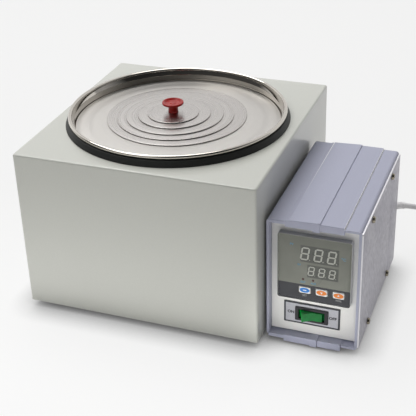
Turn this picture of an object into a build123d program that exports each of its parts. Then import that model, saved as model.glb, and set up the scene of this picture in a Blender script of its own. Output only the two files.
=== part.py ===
from build123d import *
import os
from math import cos, pi, radians, sin, sqrt, tan

os.makedirs("parts", exist_ok=True)

# Sizes in millimetres. X runs along the front towards the control box, Y to the back, Z up.
# The origin is on the bench, under the middle of the whole instrument.

# Casing of the bath
casing_width = 250.0
casing_depth = 255.0
casing_height = 170.0
casing_sheet = 1.2
casing_bend = 2.5
casing_flange = 14.0
plate_inset = 3.0
vent_length = 34.0
vent_width = 3.0
vent_pitch = 9.0
vents_across = 3
vents_deep = 7
seat_gap = 0.3
slide_gap = 0.2
pin_gap = 0.05

# Feet and the screws that hold them
foot_height = 6.8
foot_radius = 9.0
foot_taper = 8.0
foot_inset = 24.0
foot_recess_radius = 4.6
foot_recess = 3.4
m4_radius = 2.0
m4_head_radius = 3.5
m4_head = 2.4
m4_nut_flats = 7.0
m4_nut = 3.2
m3_radius = 1.5
m3_head_radius = 2.8
m3_head = 1.9

# Pot, with heights measured from the casing's top
pot_offset = -1.0
pot_sheet = 0.9
rim_inner_radius = 109.5
rim_bead_radius = 1.6
rim_height = 11.0
shoulder_top = 4.5
shoulder_drop = 2.5
neck_inner_radius = 107.0
seat_depth = 3.7
body_inner_radius = 101.0
pot_depth = 128.0
pot_corner = 14.0
pot_bend = 1.4

# Rubber ring between the pot and the casing
gasket_outer_radius = 116.4
gasket_top_radius = 113.0
gasket_height = 7.5
gasket_lip = 3.0
gasket_lip_wall = 0.7
gasket_round = 1.0

# Cover: an outer plate and rings that lie on each other, from the largest inwards
cover_sheet = 1.2
cover_edge_gap = 1.0
cover_overlap = 5.0
cover_lip_wall = 1.0
cover_lip_drop = 1.0
cover_lip_gap = 0.5
ring_radii = [73.0, 61.0, 51.0, 38.0, 26.5]
ring_names = ["cover_ring_4", "cover_ring_3", "cover_ring_2", "cover_ring_1", "centre_disc"]
ring_shift_x = -4.0
ring_shift_y = 2.0
outer_ring_play = 5.0
disc_rise = 1.5

# Knob
knob_height = 15.0
knob_cap_radius = 11.5
knob_cap_edge = 2.0
knob_dish = 1.6
knob_stem_radius = 4.6
knob_base_radius = 6.6
knob_base = 2.0
knob_screw_depth = 8.0
knob_seat_radius = 7.0

# Heating element, probe and their fittings
element_tube_radius = 4.0
element_height = 20.0
element_leg_spacing = 44.0
element_half_width = 68.0
element_leg_bend = 44.0
element_bend = 18.0
element_leg_end = 113.0
probe_radius = 3.0
probe_height = 58.0
probe_reach = 48.0
fitting_radius = 8.5
fitting_reach = 5.0
nut_flats = 15.0
nut_thickness = 4.0

# Insulation
wool_gap = 0.3
wool_side = 6.0
wool_corner = 12.0
wool_height = 96.0
wool_window = 74.0
wool_top_gap = 14.0

# Control box
housing_width = 92.0
housing_height = 132.0
housing_length = 173.0
housing_wall = 2.5
housing_corner = 3.5
housing_gap = 3.0
housing_setback = 20.0
housing_drop = 1.5
band_left = 18.0
band_ramp = 4.0
band_split = 51.5
band_right = 74.5
band_low = 1.3
band_high = 2.5
band_side = 1.5
lip_drop = 0.8
lip_rib_width = 7.0
ledge = 2.0
panel_recess = 8.0
panel_sheet = 2.0
side_plate_sheet = 1.5
side_plate_border = 2.0
side_screw_front = 40.0
side_screw_rear = 131.0
side_screw_edge = 8.0
boss_radius = 4.0
boss_length = 10.0
rear_screw_edge = 3.8

# Temperature controller, a standard 72 mm square instrument
controller_face = 72.0
controller_proud = 6.0
controller_body = 67.4
controller_cutout = 68.0
controller_depth = 62.0
controller_wall = 2.0
controller_corner = 2.5
controller_up = 15.5
lens_border = 1.3
lens_sheet = 0.8
lens_inset = 0.3
upper_window = (37.0, 18.0)
upper_window_place = (5.2, 17.0)
lower_window = (30.0, 14.0)
lower_window_place = (8.6, -1.6)
display_depth = 6.0
board_sheet = 1.6
led_radius = 1.5
led_places = [(-10.4, -11.5), (-0.6, -11.5)]
button_size = (11.8, 7.4)
button_round = 1.2
button_places = [(-8.6, -23.7), (8.0, -23.7), (24.4, -23.7)]
button_names = ["set_button", "down_button", "up_button"]
button_gap = 0.25
button_proud = 0.3
button_flange = 1.0
button_travel = 0.8
key_switch_size = 6.0

# Mains switch and its plate
switch_down = 39.4
switch_offset = -2.4
switch_plate_size = (56.0, 24.5)
switch_plate_sheet = 0.8
switch_bezel_size = (33.0, 15.6)
switch_bezel = 1.8
switch_body_size = (29.0, 12.8)
switch_body_depth = 18.0
switch_well_size = (26.0, 10.6)
switch_well_depth = 13.0
rocker_radius = 12.6
rocker_pivot_depth = 3.0
rocker_rise = 3.2
rocker_dip = 1.2
rocker_back = 3.0
rocker_tilt = 12.0
rocker_pin_radius = 1.5
rocker_pin_reach = 0.9
terminal_size = (6.3, 0.8)
terminal_length = 9.0
terminal_pitch = 9.0

# Inside the control box
sink_size = (45.0, 58.0)
sink_base = 3.0
sink_fin = 2.0
sink_fin_length = 11.0
sink_fin_pitch = 8.6
sink_fins = 6
sink_back = 144.0
sink_height = 67.0
relay_size = (43.0, 30.0)
relay_depth = 22.0
terminal_block_size = (52.0, 16.0)
terminal_block_depth = 20.0
terminal_block_back = 72.5
terminal_block_height = 22.0
terminal_ways = 5
terminal_well = 4.0

# Fixing of the control box to the casing
spacer_radius = 6.0
bolt_low = 28.0
bolt_high = 104.0
bolt_front = 40.0
bolt_back = 150.0
bushing_radius = 8.0
bushing_bore = 4.5
bushing_flange = 2.0
bushing_flange_radius = 11.0
bushing_back = 108.0
bushing_height = 56.0

# Mains cord: exit, boot, free stretch, coil and plug
cord_radius = 3.0
cord_first_run = 24.0
cord_exit_left = 79.0
cord_exit_height = 57.5
boot_length = 40.0
boot_bend = 55.0
boot_fall = 20.5
boot_root_radius = 7.0
boot_tip_radius = 4.4
boot_neck_radius = 5.6
boot_flange_radius = 6.8
boot_flange = 2.0
boot_sections = 5
coil_centre = (281.0, 104.5)
coil_lead_in = 6.0
coil_lead_out = 30.0
coil_climb_radius = 20.9
coil_outer_radius = 42.0
coil_pitch = 6.5
coil_layer = 6.5
coil_turns_in = 3
coil_quarters_out = 11
tie_sheet = 0.8
tie_width = 8.0
plug_length = 38.0
plug_width = 36.0
plug_neck_radius = 5.0
plug_neck_length = 14.0
plug_round = 4.0
blade_size = (6.3, 1.6)
blade_length = 17.0
blade_radius_out = 7.9
blade_tilt = 30.0
blade_rise = 2.5
earth_drop = 6.5

# Places worked out from the sizes
overall_width = casing_width + housing_gap + housing_width + m4_head
casing_left = -overall_width / 2
casing_x = casing_left + casing_width / 2
casing_right = casing_left + casing_width
base_z = foot_height + casing_sheet
top_z = base_z + casing_height
pot_x = casing_x + pot_offset
pot_floor = top_z - pot_depth
neck_outer_radius = neck_inner_radius + pot_sheet
pot_hole_radius = neck_outer_radius + seat_gap + gasket_lip_wall + seat_gap / 3
body_outer_radius = body_inner_radius + pot_sheet
housing_left = casing_right + housing_gap
housing_x = housing_left + housing_width / 2
housing_right = housing_left + housing_width
shell_width = housing_width - side_plate_sheet
shell_right = housing_left + shell_width
cavity_right = shell_right - housing_wall
housing_front = -casing_depth / 2 + housing_setback
housing_rear = housing_front + housing_length
housing_bottom = base_z - housing_drop
housing_top = housing_bottom + housing_height
panel_front = housing_front + panel_recess
panel_width = cavity_right - housing_left - housing_wall - 2 * slide_gap
panel_x = (housing_left + housing_wall + cavity_right) / 2
panel_z = (housing_bottom + housing_top) / 2
panel_height = housing_height - 2 * housing_wall - 4 * lip_drop - 2 * slide_gap
rear_panel_front = housing_rear - ledge - panel_sheet
controller_x = housing_x
controller_z = panel_z + controller_up
switch_x = housing_x + switch_offset
switch_z = panel_z - switch_down

pot_plane = Plane(origin=(pot_x, 0, top_z), x_dir=(1, 0, 0), z_dir=(0, -1, 0))
pot_axis = Axis((pot_x, 0, 0), (0, 0, 1))


# Casing: a folded sheet box, open below, with a flange for the bottom plate.
bolt_places = [
    (housing_front + back, housing_bottom + up)
    for back in (bolt_front, bolt_back)
    for up in (bolt_low, bolt_high)
]
bushing_place = (housing_front + bushing_back, housing_bottom + bushing_height)

with BuildPart() as outer_casing:
    with BuildSketch(Plane.XY.offset(base_z)):
        with Locations((casing_x, 0)):
            RectangleRounded(casing_width, casing_depth, casing_bend)
    extrude(amount=casing_height)
    fillet(outer_casing.faces().sort_by(Axis.Z)[-1].edges(), casing_bend * 0.8)
    offset(amount=-casing_sheet, openings=outer_casing.faces().sort_by(Axis.Z)[0])
    with BuildSketch(Plane.XY.offset(base_z)):
        with Locations((casing_x, 0)):
            Rectangle(casing_width - casing_sheet, casing_depth - casing_sheet)
            Rectangle(
                casing_width - 2 * casing_flange,
                casing_depth - 2 * casing_flange,
                mode=Mode.SUBTRACT,
            )
    extrude(amount=casing_sheet)
    with BuildSketch(Plane.XY.offset(top_z)):
        with Locations((pot_x, 0)):
            Circle(pot_hole_radius)
    extrude(amount=-2 * casing_sheet, mode=Mode.SUBTRACT)
    with BuildSketch(Plane.YZ.offset(casing_right)):
        with Locations(*bolt_places):
            Circle(m4_radius + slide_gap)
        with Locations(bushing_place):
            Circle(bushing_radius + slide_gap)
    extrude(amount=-2 * casing_sheet, mode=Mode.SUBTRACT)
    with BuildSketch(Plane.XY.offset(base_z)):
        with Locations((casing_x, 0)):
            with GridLocations(casing_width - casing_flange, casing_depth / 3, 2, 2):
                Circle(m3_radius + slide_gap)
    extrude(amount=casing_sheet, mode=Mode.SUBTRACT)

outer_casing.part.label = "outer_casing"
export_step(outer_casing.part, "parts/outer_casing.step")

# Bottom plate with its vent slots, screwed up to the casing's flange.
with BuildPart() as bottom_plate:
    with BuildSketch(Plane.XY.offset(foot_height)):
        with Locations((casing_x, 0)):
            RectangleRounded(
                casing_width - 2 * plate_inset, casing_depth - 2 * plate_inset, casing_bend
            )
            with GridLocations(2 * vent_length, vent_pitch, vents_across, vents_deep):
                SlotOverall(vent_length, vent_width, mode=Mode.SUBTRACT)
            with GridLocations(
                casing_width - 2 * foot_inset, casing_depth - 2 * foot_inset, 2, 2
            ):
                Circle(m4_radius + slide_gap, mode=Mode.SUBTRACT)
            with GridLocations(casing_width - casing_flange, casing_depth / 3, 2, 2):
                Circle(m3_radius + slide_gap, mode=Mode.SUBTRACT)
    extrude(amount=casing_sheet)

bottom_plate.part.label = "bottom_plate"
export_step(bottom_plate.part, "parts/bottom_plate.step")

with BuildPart() as base_screws:
    with BuildSketch(Plane.XY.offset(foot_height)):
        with Locations((casing_x, 0)):
            with GridLocations(casing_width - casing_flange, casing_depth / 3, 2, 2):
                Circle(m3_head_radius)
    extrude(amount=-m3_head)
    with BuildSketch(Plane.XY.offset(foot_height)):
        with Locations((casing_x, 0)):
            with GridLocations(casing_width - casing_flange, casing_depth / 3, 2, 2):
                Circle(m3_radius)
    extrude(amount=4 * casing_sheet)

base_screws.part.label = "base_screws"
export_step(base_screws.part, "parts/base_screws.step")

# Four rubber feet, each with a recess for its screw.
with BuildPart() as feet:
    with BuildSketch(Plane.XY.offset(foot_height)):
        with Locations((casing_x, 0)):
            with GridLocations(
                casing_width - 2 * foot_inset, casing_depth - 2 * foot_inset, 2, 2
            ):
                Circle(foot_radius)
    extrude(amount=-foot_height, taper=foot_taper)
    with BuildSketch():
        with Locations((casing_x, 0)):
            with GridLocations(
                casing_width - 2 * foot_inset, casing_depth - 2 * foot_inset, 2, 2
            ):
                Circle(foot_recess_radius)
    extrude(amount=foot_recess, mode=Mode.SUBTRACT)
    with BuildSketch(Plane.XY.offset(foot_recess)):
        with Locations((casing_x, 0)):
            with GridLocations(
                casing_width - 2 * foot_inset, casing_depth - 2 * foot_inset, 2, 2
            ):
                Circle(m4_radius + slide_gap)
    extrude(amount=foot_height - foot_recess, mode=Mode.SUBTRACT)

feet.part.label = "feet"
export_step(feet.part, "parts/feet.step")

with BuildPart() as foot_screws:
    with BuildSketch(Plane.XY.offset(foot_recess)):
        with Locations((casing_x, 0)):
            with GridLocations(
                casing_width - 2 * foot_inset, casing_depth - 2 * foot_inset, 2, 2
            ):
                Circle(m4_head_radius)
    extrude(amount=-m4_head)
    with BuildSketch(Plane.XY.offset(foot_recess)):
        with Locations((casing_x, 0)):
            with GridLocations(
                casing_width - 2 * foot_inset, casing_depth - 2 * foot_inset, 2, 2
            ):
                Circle(m4_radius)
    extrude(amount=base_z + m4_nut + m4_radius / 2 - foot_recess)

foot_screws.part.label = "foot_screws"
export_step(foot_screws.part, "parts/foot_screws.step")

with BuildPart() as foot_nuts:
    with BuildSketch(Plane.XY.offset(base_z)):
        with Locations((casing_x, 0)):
            with GridLocations(
                casing_width - 2 * foot_inset, casing_depth - 2 * foot_inset, 2, 2
            ):
                RegularPolygon(m4_nut_flats / 2, 6, major_radius=False)
                Circle(m4_radius + pin_gap, mode=Mode.SUBTRACT)
    extrude(amount=m4_nut)

foot_nuts.part.label = "foot_nuts"
export_step(foot_nuts.part, "parts/foot_nuts.step")

# Pot: one drawn sheet with a rolled rim, a sloping shoulder, a ledge for the cover and a bowl.
rim_wall = rim_inner_radius + pot_sheet / 2
neck_wall = neck_inner_radius + pot_sheet / 2
body_wall = body_inner_radius + pot_sheet / 2
ledge_line = -seat_depth - pot_sheet / 2
floor_line = -pot_depth + pot_sheet / 2
bead_line = rim_height - rim_bead_radius

with BuildPart() as pot:
    with BuildSketch(pot_plane):
        with BuildLine():
            FilletPolyline(
                (rim_wall, bead_line),
                (rim_wall, shoulder_top),
                (neck_wall, shoulder_top - shoulder_drop),
                (neck_wall, ledge_line),
                (body_wall, ledge_line),
                (body_wall, floor_line),
                (0, floor_line),
                radius=[pot_bend, pot_bend, pot_bend, pot_bend, pot_corner],
            )
        trace(line_width=pot_sheet)
        with Locations((rim_inner_radius + rim_bead_radius - slide_gap, bead_line)):
            Circle(rim_bead_radius)
    revolve(axis=pot_axis)
    with BuildSketch(Plane.YZ.offset(pot_x)):
        with Locations((0, pot_floor + element_height)):
            with GridLocations(element_leg_spacing, 1, 2, 1):
                Circle(element_tube_radius + pin_gap)
        with Locations((0, pot_floor + probe_height)):
            Circle(probe_radius + pin_gap)
    extrude(amount=body_outer_radius + 1, mode=Mode.SUBTRACT)

pot.part.label = "pot"
export_step(pot.part, "parts/pot.step")

# Rubber ring: a tapered band on the casing's top with a thin lip down through the hole.
shoulder_slope = shoulder_drop / (rim_inner_radius - neck_inner_radius)
gasket_rim_wall = rim_inner_radius + pot_sheet + seat_gap
gasket_neck_wall = neck_outer_radius + seat_gap

with BuildPart() as rim_gasket:
    with BuildSketch(pot_plane) as gasket_profile:
        with BuildLine():
            Polyline(
                (gasket_outer_radius, 0),
                (gasket_top_radius, gasket_height),
                (gasket_rim_wall, gasket_height),
                (gasket_rim_wall, shoulder_top - 3 * seat_gap),
                (gasket_neck_wall, shoulder_top - shoulder_drop - 3 * seat_gap),
                (gasket_neck_wall, -gasket_lip),
                (gasket_neck_wall + gasket_lip_wall, -gasket_lip),
                (gasket_neck_wall + gasket_lip_wall, 0),
                close=True,
            )
        make_face()
        fillet(gasket_profile.vertices().group_by(Axis.Y)[-1].sort_by(Axis.X)[-1], gasket_round)
    revolve(axis=pot_axis)

rim_gasket.part.label = "rim_gasket"
export_step(rim_gasket.part, "parts/rim_gasket.step")

# Cover plate: a flat ring on the pot's ledge with a turned-down edge at its hole.
cover_outer_radius = neck_inner_radius - cover_edge_gap
plate_hole_radius = ring_radii[0] - cover_overlap
plate_top = cover_sheet - seat_depth

with BuildPart() as cover_plate:
    with BuildSketch(pot_plane):
        with BuildLine():
            Polyline(
                (plate_hole_radius, plate_top),
                (cover_outer_radius, plate_top),
                (cover_outer_radius, plate_top - cover_sheet),
                (plate_hole_radius + cover_sheet, plate_top - cover_sheet),
                (plate_hole_radius + cover_sheet, plate_top - cover_sheet - cover_lip_drop),
                (plate_hole_radius, plate_top - cover_sheet - cover_lip_drop),
                close=True,
            )
        make_face()
    revolve(axis=pot_axis)
    fillet(
        cover_plate.edges().filter_by(GeomType.CIRCLE).group_by(Axis.Z)[-1],
        cover_sheet / 4,
    )

cover_plate.part.label = "cover_plate"
export_step(cover_plate.part, "parts/cover_plate.step")

# Cover rings: each lies on the next larger one, with a lip that keeps it over the hole.
ring_x = pot_x + ring_shift_x
ring_y = ring_shift_y
ring_axis = Axis((ring_x, ring_y, 0), (0, 0, 1))

for number, name in enumerate(ring_names):
    ring_bottom = plate_top + number * cover_sheet
    ring_plane = Plane(
        origin=(ring_x, ring_y, top_z + ring_bottom), x_dir=(1, 0, 0), z_dir=(0, -1, 0)
    )
    outer = ring_radii[number]
    lip_outer = outer - cover_overlap - (outer_ring_play if number == 0 else cover_lip_gap)
    lip_bottom = -cover_sheet - cover_lip_drop
    is_disc = number == len(ring_names) - 1
    with BuildPart() as cover_ring:
        with BuildSketch(ring_plane) as ring_profile:
            if is_disc:
                with BuildLine():
                    Polyline(
                        (knob_seat_radius, cover_sheet + disc_rise),
                        (m4_radius + slide_gap, cover_sheet + disc_rise),
                        (m4_radius + slide_gap, 0),
                        (outer, 0),
                        (outer, cover_sheet),
                        (outer - cover_overlap, cover_sheet),
                    )
                    TangentArc(
                        (outer - cover_overlap, cover_sheet),
                        (knob_seat_radius, cover_sheet + disc_rise),
                        tangent=(-1, 2 * disc_rise / (outer - cover_overlap - knob_seat_radius)),
                    )
                make_face()
            else:
                hole = ring_radii[number + 1] - cover_overlap
                with Locations(((outer + hole) / 2, cover_sheet / 2)):
                    Rectangle(outer - hole, cover_sheet)
            fillet(ring_profile.vertices().group_by(Axis.X)[-1], cover_sheet / 4)
            with Locations((lip_outer - cover_lip_wall / 2, lip_bottom / 2)):
                Rectangle(cover_lip_wall, -lip_bottom)
        revolve(axis=ring_axis)
    cover_ring.part.label = name
    export_step(cover_ring.part, f"parts/{name}.step")

disc_bottom = top_z + plate_top + (len(ring_names) - 1) * cover_sheet
knob_z = disc_bottom + cover_sheet + disc_rise

# Knob: a waisted stem under a dished cap, held by a screw through the centre disc.
with BuildPart() as knob:
    knob_plane = Plane(origin=(ring_x, ring_y, knob_z), x_dir=(1, 0, 0), z_dir=(0, -1, 0))
    cap_bottom = knob_height - knob_cap_edge
    with BuildSketch(knob_plane):
        with BuildLine():
            Line((0, 0), (knob_base_radius, 0))
            Line((knob_base_radius, 0), (knob_base_radius, knob_base / 2))
            ThreePointArc(
                (knob_base_radius, knob_base / 2),
                (knob_stem_radius + 0.5, knob_base * 1.2),
                (knob_stem_radius, 2 * knob_base),
            )
            Line((knob_stem_radius, 2 * knob_base), (knob_stem_radius, knob_height / 2))
            ThreePointArc(
                (knob_stem_radius, knob_height / 2),
                (knob_cap_radius * 0.62, cap_bottom - 1.6),
                (knob_cap_radius, cap_bottom),
            )
            ThreePointArc(
                (knob_cap_radius, cap_bottom),
                (knob_cap_radius + 0.6, knob_height - knob_cap_edge / 2),
                (knob_cap_radius - 0.8, knob_height),
            )
            TangentArc(
                (0, knob_height - knob_dish),
                (knob_cap_radius - 0.8, knob_height),
                tangent=(1, 0),
            )
            Line((0, knob_height - knob_dish), (0, 0))
        make_face()
    revolve(axis=ring_axis)
    with BuildSketch(Plane.XY.offset(knob_z)):
        with Locations((ring_x, ring_y)):
            Circle(m4_radius + pin_gap)
    extrude(amount=knob_screw_depth, mode=Mode.SUBTRACT)

knob.part.label = "knob"
export_step(knob.part, "parts/knob.step")

with BuildPart() as knob_screw:
    with BuildSketch(Plane.XY.offset(disc_bottom)):
        with Locations((ring_x, ring_y)):
            Circle(m4_head_radius)
    extrude(amount=-m4_head)
    with BuildSketch(Plane.XY.offset(disc_bottom)):
        with Locations((ring_x, ring_y)):
            Circle(m4_radius)
    extrude(amount=knob_z - disc_bottom + knob_screw_depth - slide_gap)

knob_screw.part.label = "knob_screw"
export_step(knob_screw.part, "parts/knob_screw.step")

# Heating element: one bent tube low in the pot, both legs out through the wall.
leg_y = element_leg_spacing / 2
element_z = pot_floor + element_height

with BuildPart() as heating_element:
    with BuildLine(Plane.XY.offset(element_z)) as element_path:
        FilletPolyline(
            (pot_x + element_leg_end, -leg_y),
            (pot_x + element_leg_bend, -leg_y),
            (pot_x + element_leg_bend, -element_half_width),
            (pot_x - element_half_width, -element_half_width),
            (pot_x - element_half_width, element_half_width),
            (pot_x + element_leg_bend, element_half_width),
            (pot_x + element_leg_bend, leg_y),
            (pot_x + element_leg_end, leg_y),
            radius=element_bend,
        )
    with BuildSketch(Plane.YZ.offset(pot_x + element_leg_end)):
        with Locations((-leg_y, element_z)):
            Circle(element_tube_radius)
    sweep(path=element_path.line)

heating_element.part.label = "heating_element"
export_step(heating_element.part, "parts/heating_element.step")

# Fittings seat on the outside of the pot's curved wall.
fitting_face = pot_x + body_outer_radius + fitting_reach

with BuildPart() as element_fittings:
    with BuildSketch(Plane.YZ.offset(pot_x + body_outer_radius / 2)):
        with Locations((0, element_z)):
            with GridLocations(element_leg_spacing, 1, 2, 1):
                Circle(fitting_radius)
                Circle(element_tube_radius + pin_gap, mode=Mode.SUBTRACT)
    extrude(amount=body_outer_radius / 2 + fitting_reach - nut_thickness + 1)
    with BuildSketch(Plane.XY.offset(element_z - fitting_radius)):
        with Locations((pot_x, 0)):
            Circle(body_outer_radius)
    extrude(amount=2 * fitting_radius, mode=Mode.SUBTRACT)

element_fittings.part.label = "element_fittings"
export_step(element_fittings.part, "parts/element_fittings.step")

with BuildPart() as element_nuts:
    with BuildSketch(Plane.YZ.offset(fitting_face - nut_thickness + 1)):
        with Locations((0, element_z)):
            with GridLocations(element_leg_spacing, 1, 2, 1):
                RegularPolygon(nut_flats / 2, 6, major_radius=False)
                Circle(element_tube_radius + pin_gap, mode=Mode.SUBTRACT)
    extrude(amount=nut_thickness)

element_nuts.part.label = "element_nuts"
export_step(element_nuts.part, "parts/element_nuts.step")

# Temperature probe: a thin tube with a closed end, in a fitting of its own.
probe_z = pot_floor + probe_height
probe_inner_end = pot_x + body_inner_radius - probe_reach
probe_outer_end = pot_x + body_outer_radius + 2 * fitting_reach

with BuildPart() as temperature_probe:
    with BuildSketch(Plane.YZ.offset(probe_inner_end)):
        with Locations((0, probe_z)):
            Circle(probe_radius)
    extrude(amount=probe_outer_end - probe_inner_end)
    fillet(temperature_probe.faces().sort_by(Axis.X)[0].edges(), probe_radius * 0.9)

temperature_probe.part.label = "temperature_probe"
export_step(temperature_probe.part, "parts/temperature_probe.step")

with BuildPart() as probe_fitting:
    with BuildSketch(Plane.YZ.offset(pot_x + body_outer_radius - 1)):
        with Locations((0, probe_z)):
            RegularPolygon(nut_flats / 2, 6, major_radius=False)
            Circle(probe_radius + pin_gap, mode=Mode.SUBTRACT)
    extrude(amount=fitting_reach + 1)
    with BuildSketch(Plane.XY.offset(probe_z - nut_flats)):
        with Locations((pot_x, 0)):
            Circle(body_outer_radius)
    extrude(amount=2 * nut_flats, mode=Mode.SUBTRACT)

probe_fitting.part.label = "probe_fitting"
export_step(probe_fitting.part, "parts/probe_fitting.step")

# Mineral wool round the pot, with a window for the fittings.
wool_inner_radius = body_outer_radius + wool_gap
wool_bottom = top_z - wool_top_gap - wool_height
wool_window_left = pot_x + body_inner_radius * 0.9

with BuildPart() as insulation:
    with BuildSketch(Plane.XY.offset(wool_bottom)):
        with Locations((casing_x, 0)):
            RectangleRounded(
                casing_width - 2 * casing_sheet - 2 * wool_side,
                casing_depth - 2 * casing_sheet - 2 * wool_side,
                wool_corner,
            )
        with Locations((pot_x, 0)):
            Circle(wool_inner_radius, mode=Mode.SUBTRACT)
        with Locations((casing_right, 0)):
            Rectangle(2 * (casing_right - wool_window_left), wool_window, mode=Mode.SUBTRACT)
    extrude(amount=wool_height)

insulation.part.label = "insulation"
export_step(insulation.part, "parts/insulation.step")

# Control box: a moulded tube with raised bands along its top and underside.
outline_top = [
    (housing_left, housing_top),
    (housing_left + band_left, housing_top),
    (housing_left + band_left + band_ramp, housing_top + band_low),
    (housing_left + band_split, housing_top + band_high),
    (housing_left + band_split, housing_top + band_side),
    (housing_left + band_right, housing_top + band_side),
    (housing_left + band_right, housing_top),
    (shell_right, housing_top),
]
cavity_top = [
    (housing_left + housing_wall, housing_top - housing_wall),
    (housing_left + band_left, housing_top - housing_wall),
    (housing_left + band_left, housing_top - housing_wall - lip_drop),
    (housing_left + band_split - lip_rib_width, housing_top - housing_wall - lip_drop),
    (housing_left + band_split - lip_rib_width, housing_top - housing_wall - 2 * lip_drop),
    (housing_left + band_split, housing_top - housing_wall - 2 * lip_drop),
    (housing_left + band_split, housing_top - housing_wall - lip_drop),
    (housing_left + band_right, housing_top - housing_wall - lip_drop),
    (housing_left + band_right, housing_top - housing_wall),
    (cavity_right, housing_top - housing_wall),
]


def mirrored(points):
    return [(x, 2 * panel_z - z) for x, z in reversed(points)]


side_screw_places = [
    (housing_front + back, up)
    for back in (side_screw_front, side_screw_rear)
    for up in (housing_bottom + side_screw_edge, housing_top - side_screw_edge)
]
rear_screw_places = [
    (x, z)
    for x in (
        housing_left + housing_wall + rear_screw_edge,
        cavity_right - rear_screw_edge,
    )
    for z in (housing_bottom + 2 * rear_screw_edge, housing_top - 2 * rear_screw_edge)
]
ledge_back = panel_front + panel_sheet
cavity_mid_z = (housing_bottom + housing_top) / 2

with BuildPart() as control_housing:
    with BuildSketch(Plane.XZ.offset(-housing_front)) as outline:
        with BuildLine():
            Polyline(*outline_top, *mirrored(outline_top), close=True)
        make_face()
        fillet(outline.vertices().group_by(Axis.X)[0], housing_corner)
        fillet(outline.vertices().group_by(Axis.X)[-1], housing_corner)
        with BuildLine():
            Polyline(*cavity_top, *mirrored(cavity_top), close=True)
        make_face(mode=Mode.SUBTRACT)
    extrude(amount=-housing_length)
    for ledge_y in (ledge_back, rear_panel_front - ledge):
        with BuildSketch(Plane.XZ.offset(-ledge_y)):
            with Locations((panel_x, cavity_mid_z)):
                Rectangle(
                    cavity_right - housing_left - housing_wall,
                    housing_height - 2 * housing_wall - 2 * lip_drop,
                )
                Rectangle(
                    cavity_right - housing_left - housing_wall - 2 * ledge,
                    housing_height - 2 * housing_wall - 2 * lip_drop - 2 * ledge,
                    mode=Mode.SUBTRACT,
                )
        extrude(amount=-ledge)
    with BuildSketch(Plane.YZ.offset(cavity_right)):
        with Locations(*side_screw_places):
            Circle(boss_radius)
    extrude(amount=-boss_length)
    with BuildSketch(Plane.YZ.offset(shell_right)):
        with Locations(*side_screw_places):
            Circle(m3_radius + pin_gap)
    extrude(amount=-housing_wall - boss_length, mode=Mode.SUBTRACT)
    with BuildSketch(Plane.XZ.offset(ledge - rear_panel_front)):
        with Locations(*rear_screw_places):
            Circle(boss_radius)
    extrude(amount=boss_length)
    with BuildSketch(Plane.XZ.offset(-rear_panel_front)):
        with Locations(*rear_screw_places):
            Circle(m3_radius + pin_gap)
    extrude(amount=ledge + boss_length, mode=Mode.SUBTRACT)
    with BuildSketch(Plane.YZ.offset(housing_left)):
        with Locations(*bolt_places):
            Circle(m4_radius + slide_gap)
        with Locations(bushing_place):
            Circle(bushing_radius + slide_gap)
    extrude(amount=housing_wall, mode=Mode.SUBTRACT)

control_housing.part.label = "control_housing"
export_step(control_housing.part, "parts/control_housing.step")

# Metal cover on the right side of the control box, with its four screws.
with BuildPart() as side_plate:
    with BuildSketch(Plane.YZ.offset(shell_right)):
        with Locations(((housing_front + housing_rear) / 2, cavity_mid_z)):
            RectangleRounded(
                housing_length - side_plate_border / 2,
                housing_height - 2 * side_plate_border,
                side_plate_border,
            )
        with Locations(*side_screw_places):
            Circle(m3_radius + slide_gap, mode=Mode.SUBTRACT)
    extrude(amount=side_plate_sheet)

side_plate.part.label = "side_plate"
export_step(side_plate.part, "parts/side_plate.step")

with BuildPart() as side_plate_screws:
    with BuildSketch(Plane.YZ.offset(housing_right)):
        with Locations(*side_screw_places):
            Circle(m4_head_radius)
    extrude(amount=m4_head, taper=12)
    with BuildSketch(Plane.YZ.offset(housing_right)):
        with Locations(*side_screw_places):
            Circle(m3_radius)
    extrude(amount=-side_plate_sheet - housing_wall - boss_length + 1)

side_plate_screws.part.label = "side_plate_screws"
export_step(side_plate_screws.part, "parts/side_plate_screws.step")

# Front panel with the cut-outs of the controller and the switch.
with BuildPart() as front_panel:
    with BuildSketch(Plane.XZ.offset(-panel_front)):
        with Locations((panel_x, panel_z)):
            Rectangle(panel_width, panel_height)
        with Locations((controller_x, controller_z)):
            Rectangle(controller_cutout, controller_cutout, mode=Mode.SUBTRACT)
        with Locations((switch_x, switch_z)):
            Rectangle(
                switch_body_size[0] + 2 * slide_gap,
                switch_body_size[1] + 2 * slide_gap,
                mode=Mode.SUBTRACT,
            )
    extrude(amount=-panel_sheet)

front_panel.part.label = "front_panel"
export_step(front_panel.part, "parts/front_panel.step")

# Rear panel with vent slots, the hole of the cord's boot and four screws.
cord_exit_x = housing_left + cord_exit_left
cord_exit_z = housing_bottom + cord_exit_height
rear_vent_z = housing_bottom + housing_height * 0.72

with BuildPart() as rear_panel:
    with BuildSketch(Plane.XZ.offset(-rear_panel_front)):
        with Locations((panel_x, panel_z)):
            Rectangle(panel_width, panel_height)
        with Locations((panel_x, rear_vent_z)):
            with GridLocations(1, vent_pitch * 0.7, 1, vents_deep):
                SlotOverall(vent_length, vent_width, mode=Mode.SUBTRACT)
        with Locations((cord_exit_x, cord_exit_z)):
            Circle(boot_neck_radius + slide_gap, mode=Mode.SUBTRACT)
        with Locations(*rear_screw_places):
            Circle(m3_radius + slide_gap, mode=Mode.SUBTRACT)
    extrude(amount=-panel_sheet)

rear_panel.part.label = "rear_panel"
export_step(rear_panel.part, "parts/rear_panel.step")

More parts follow.
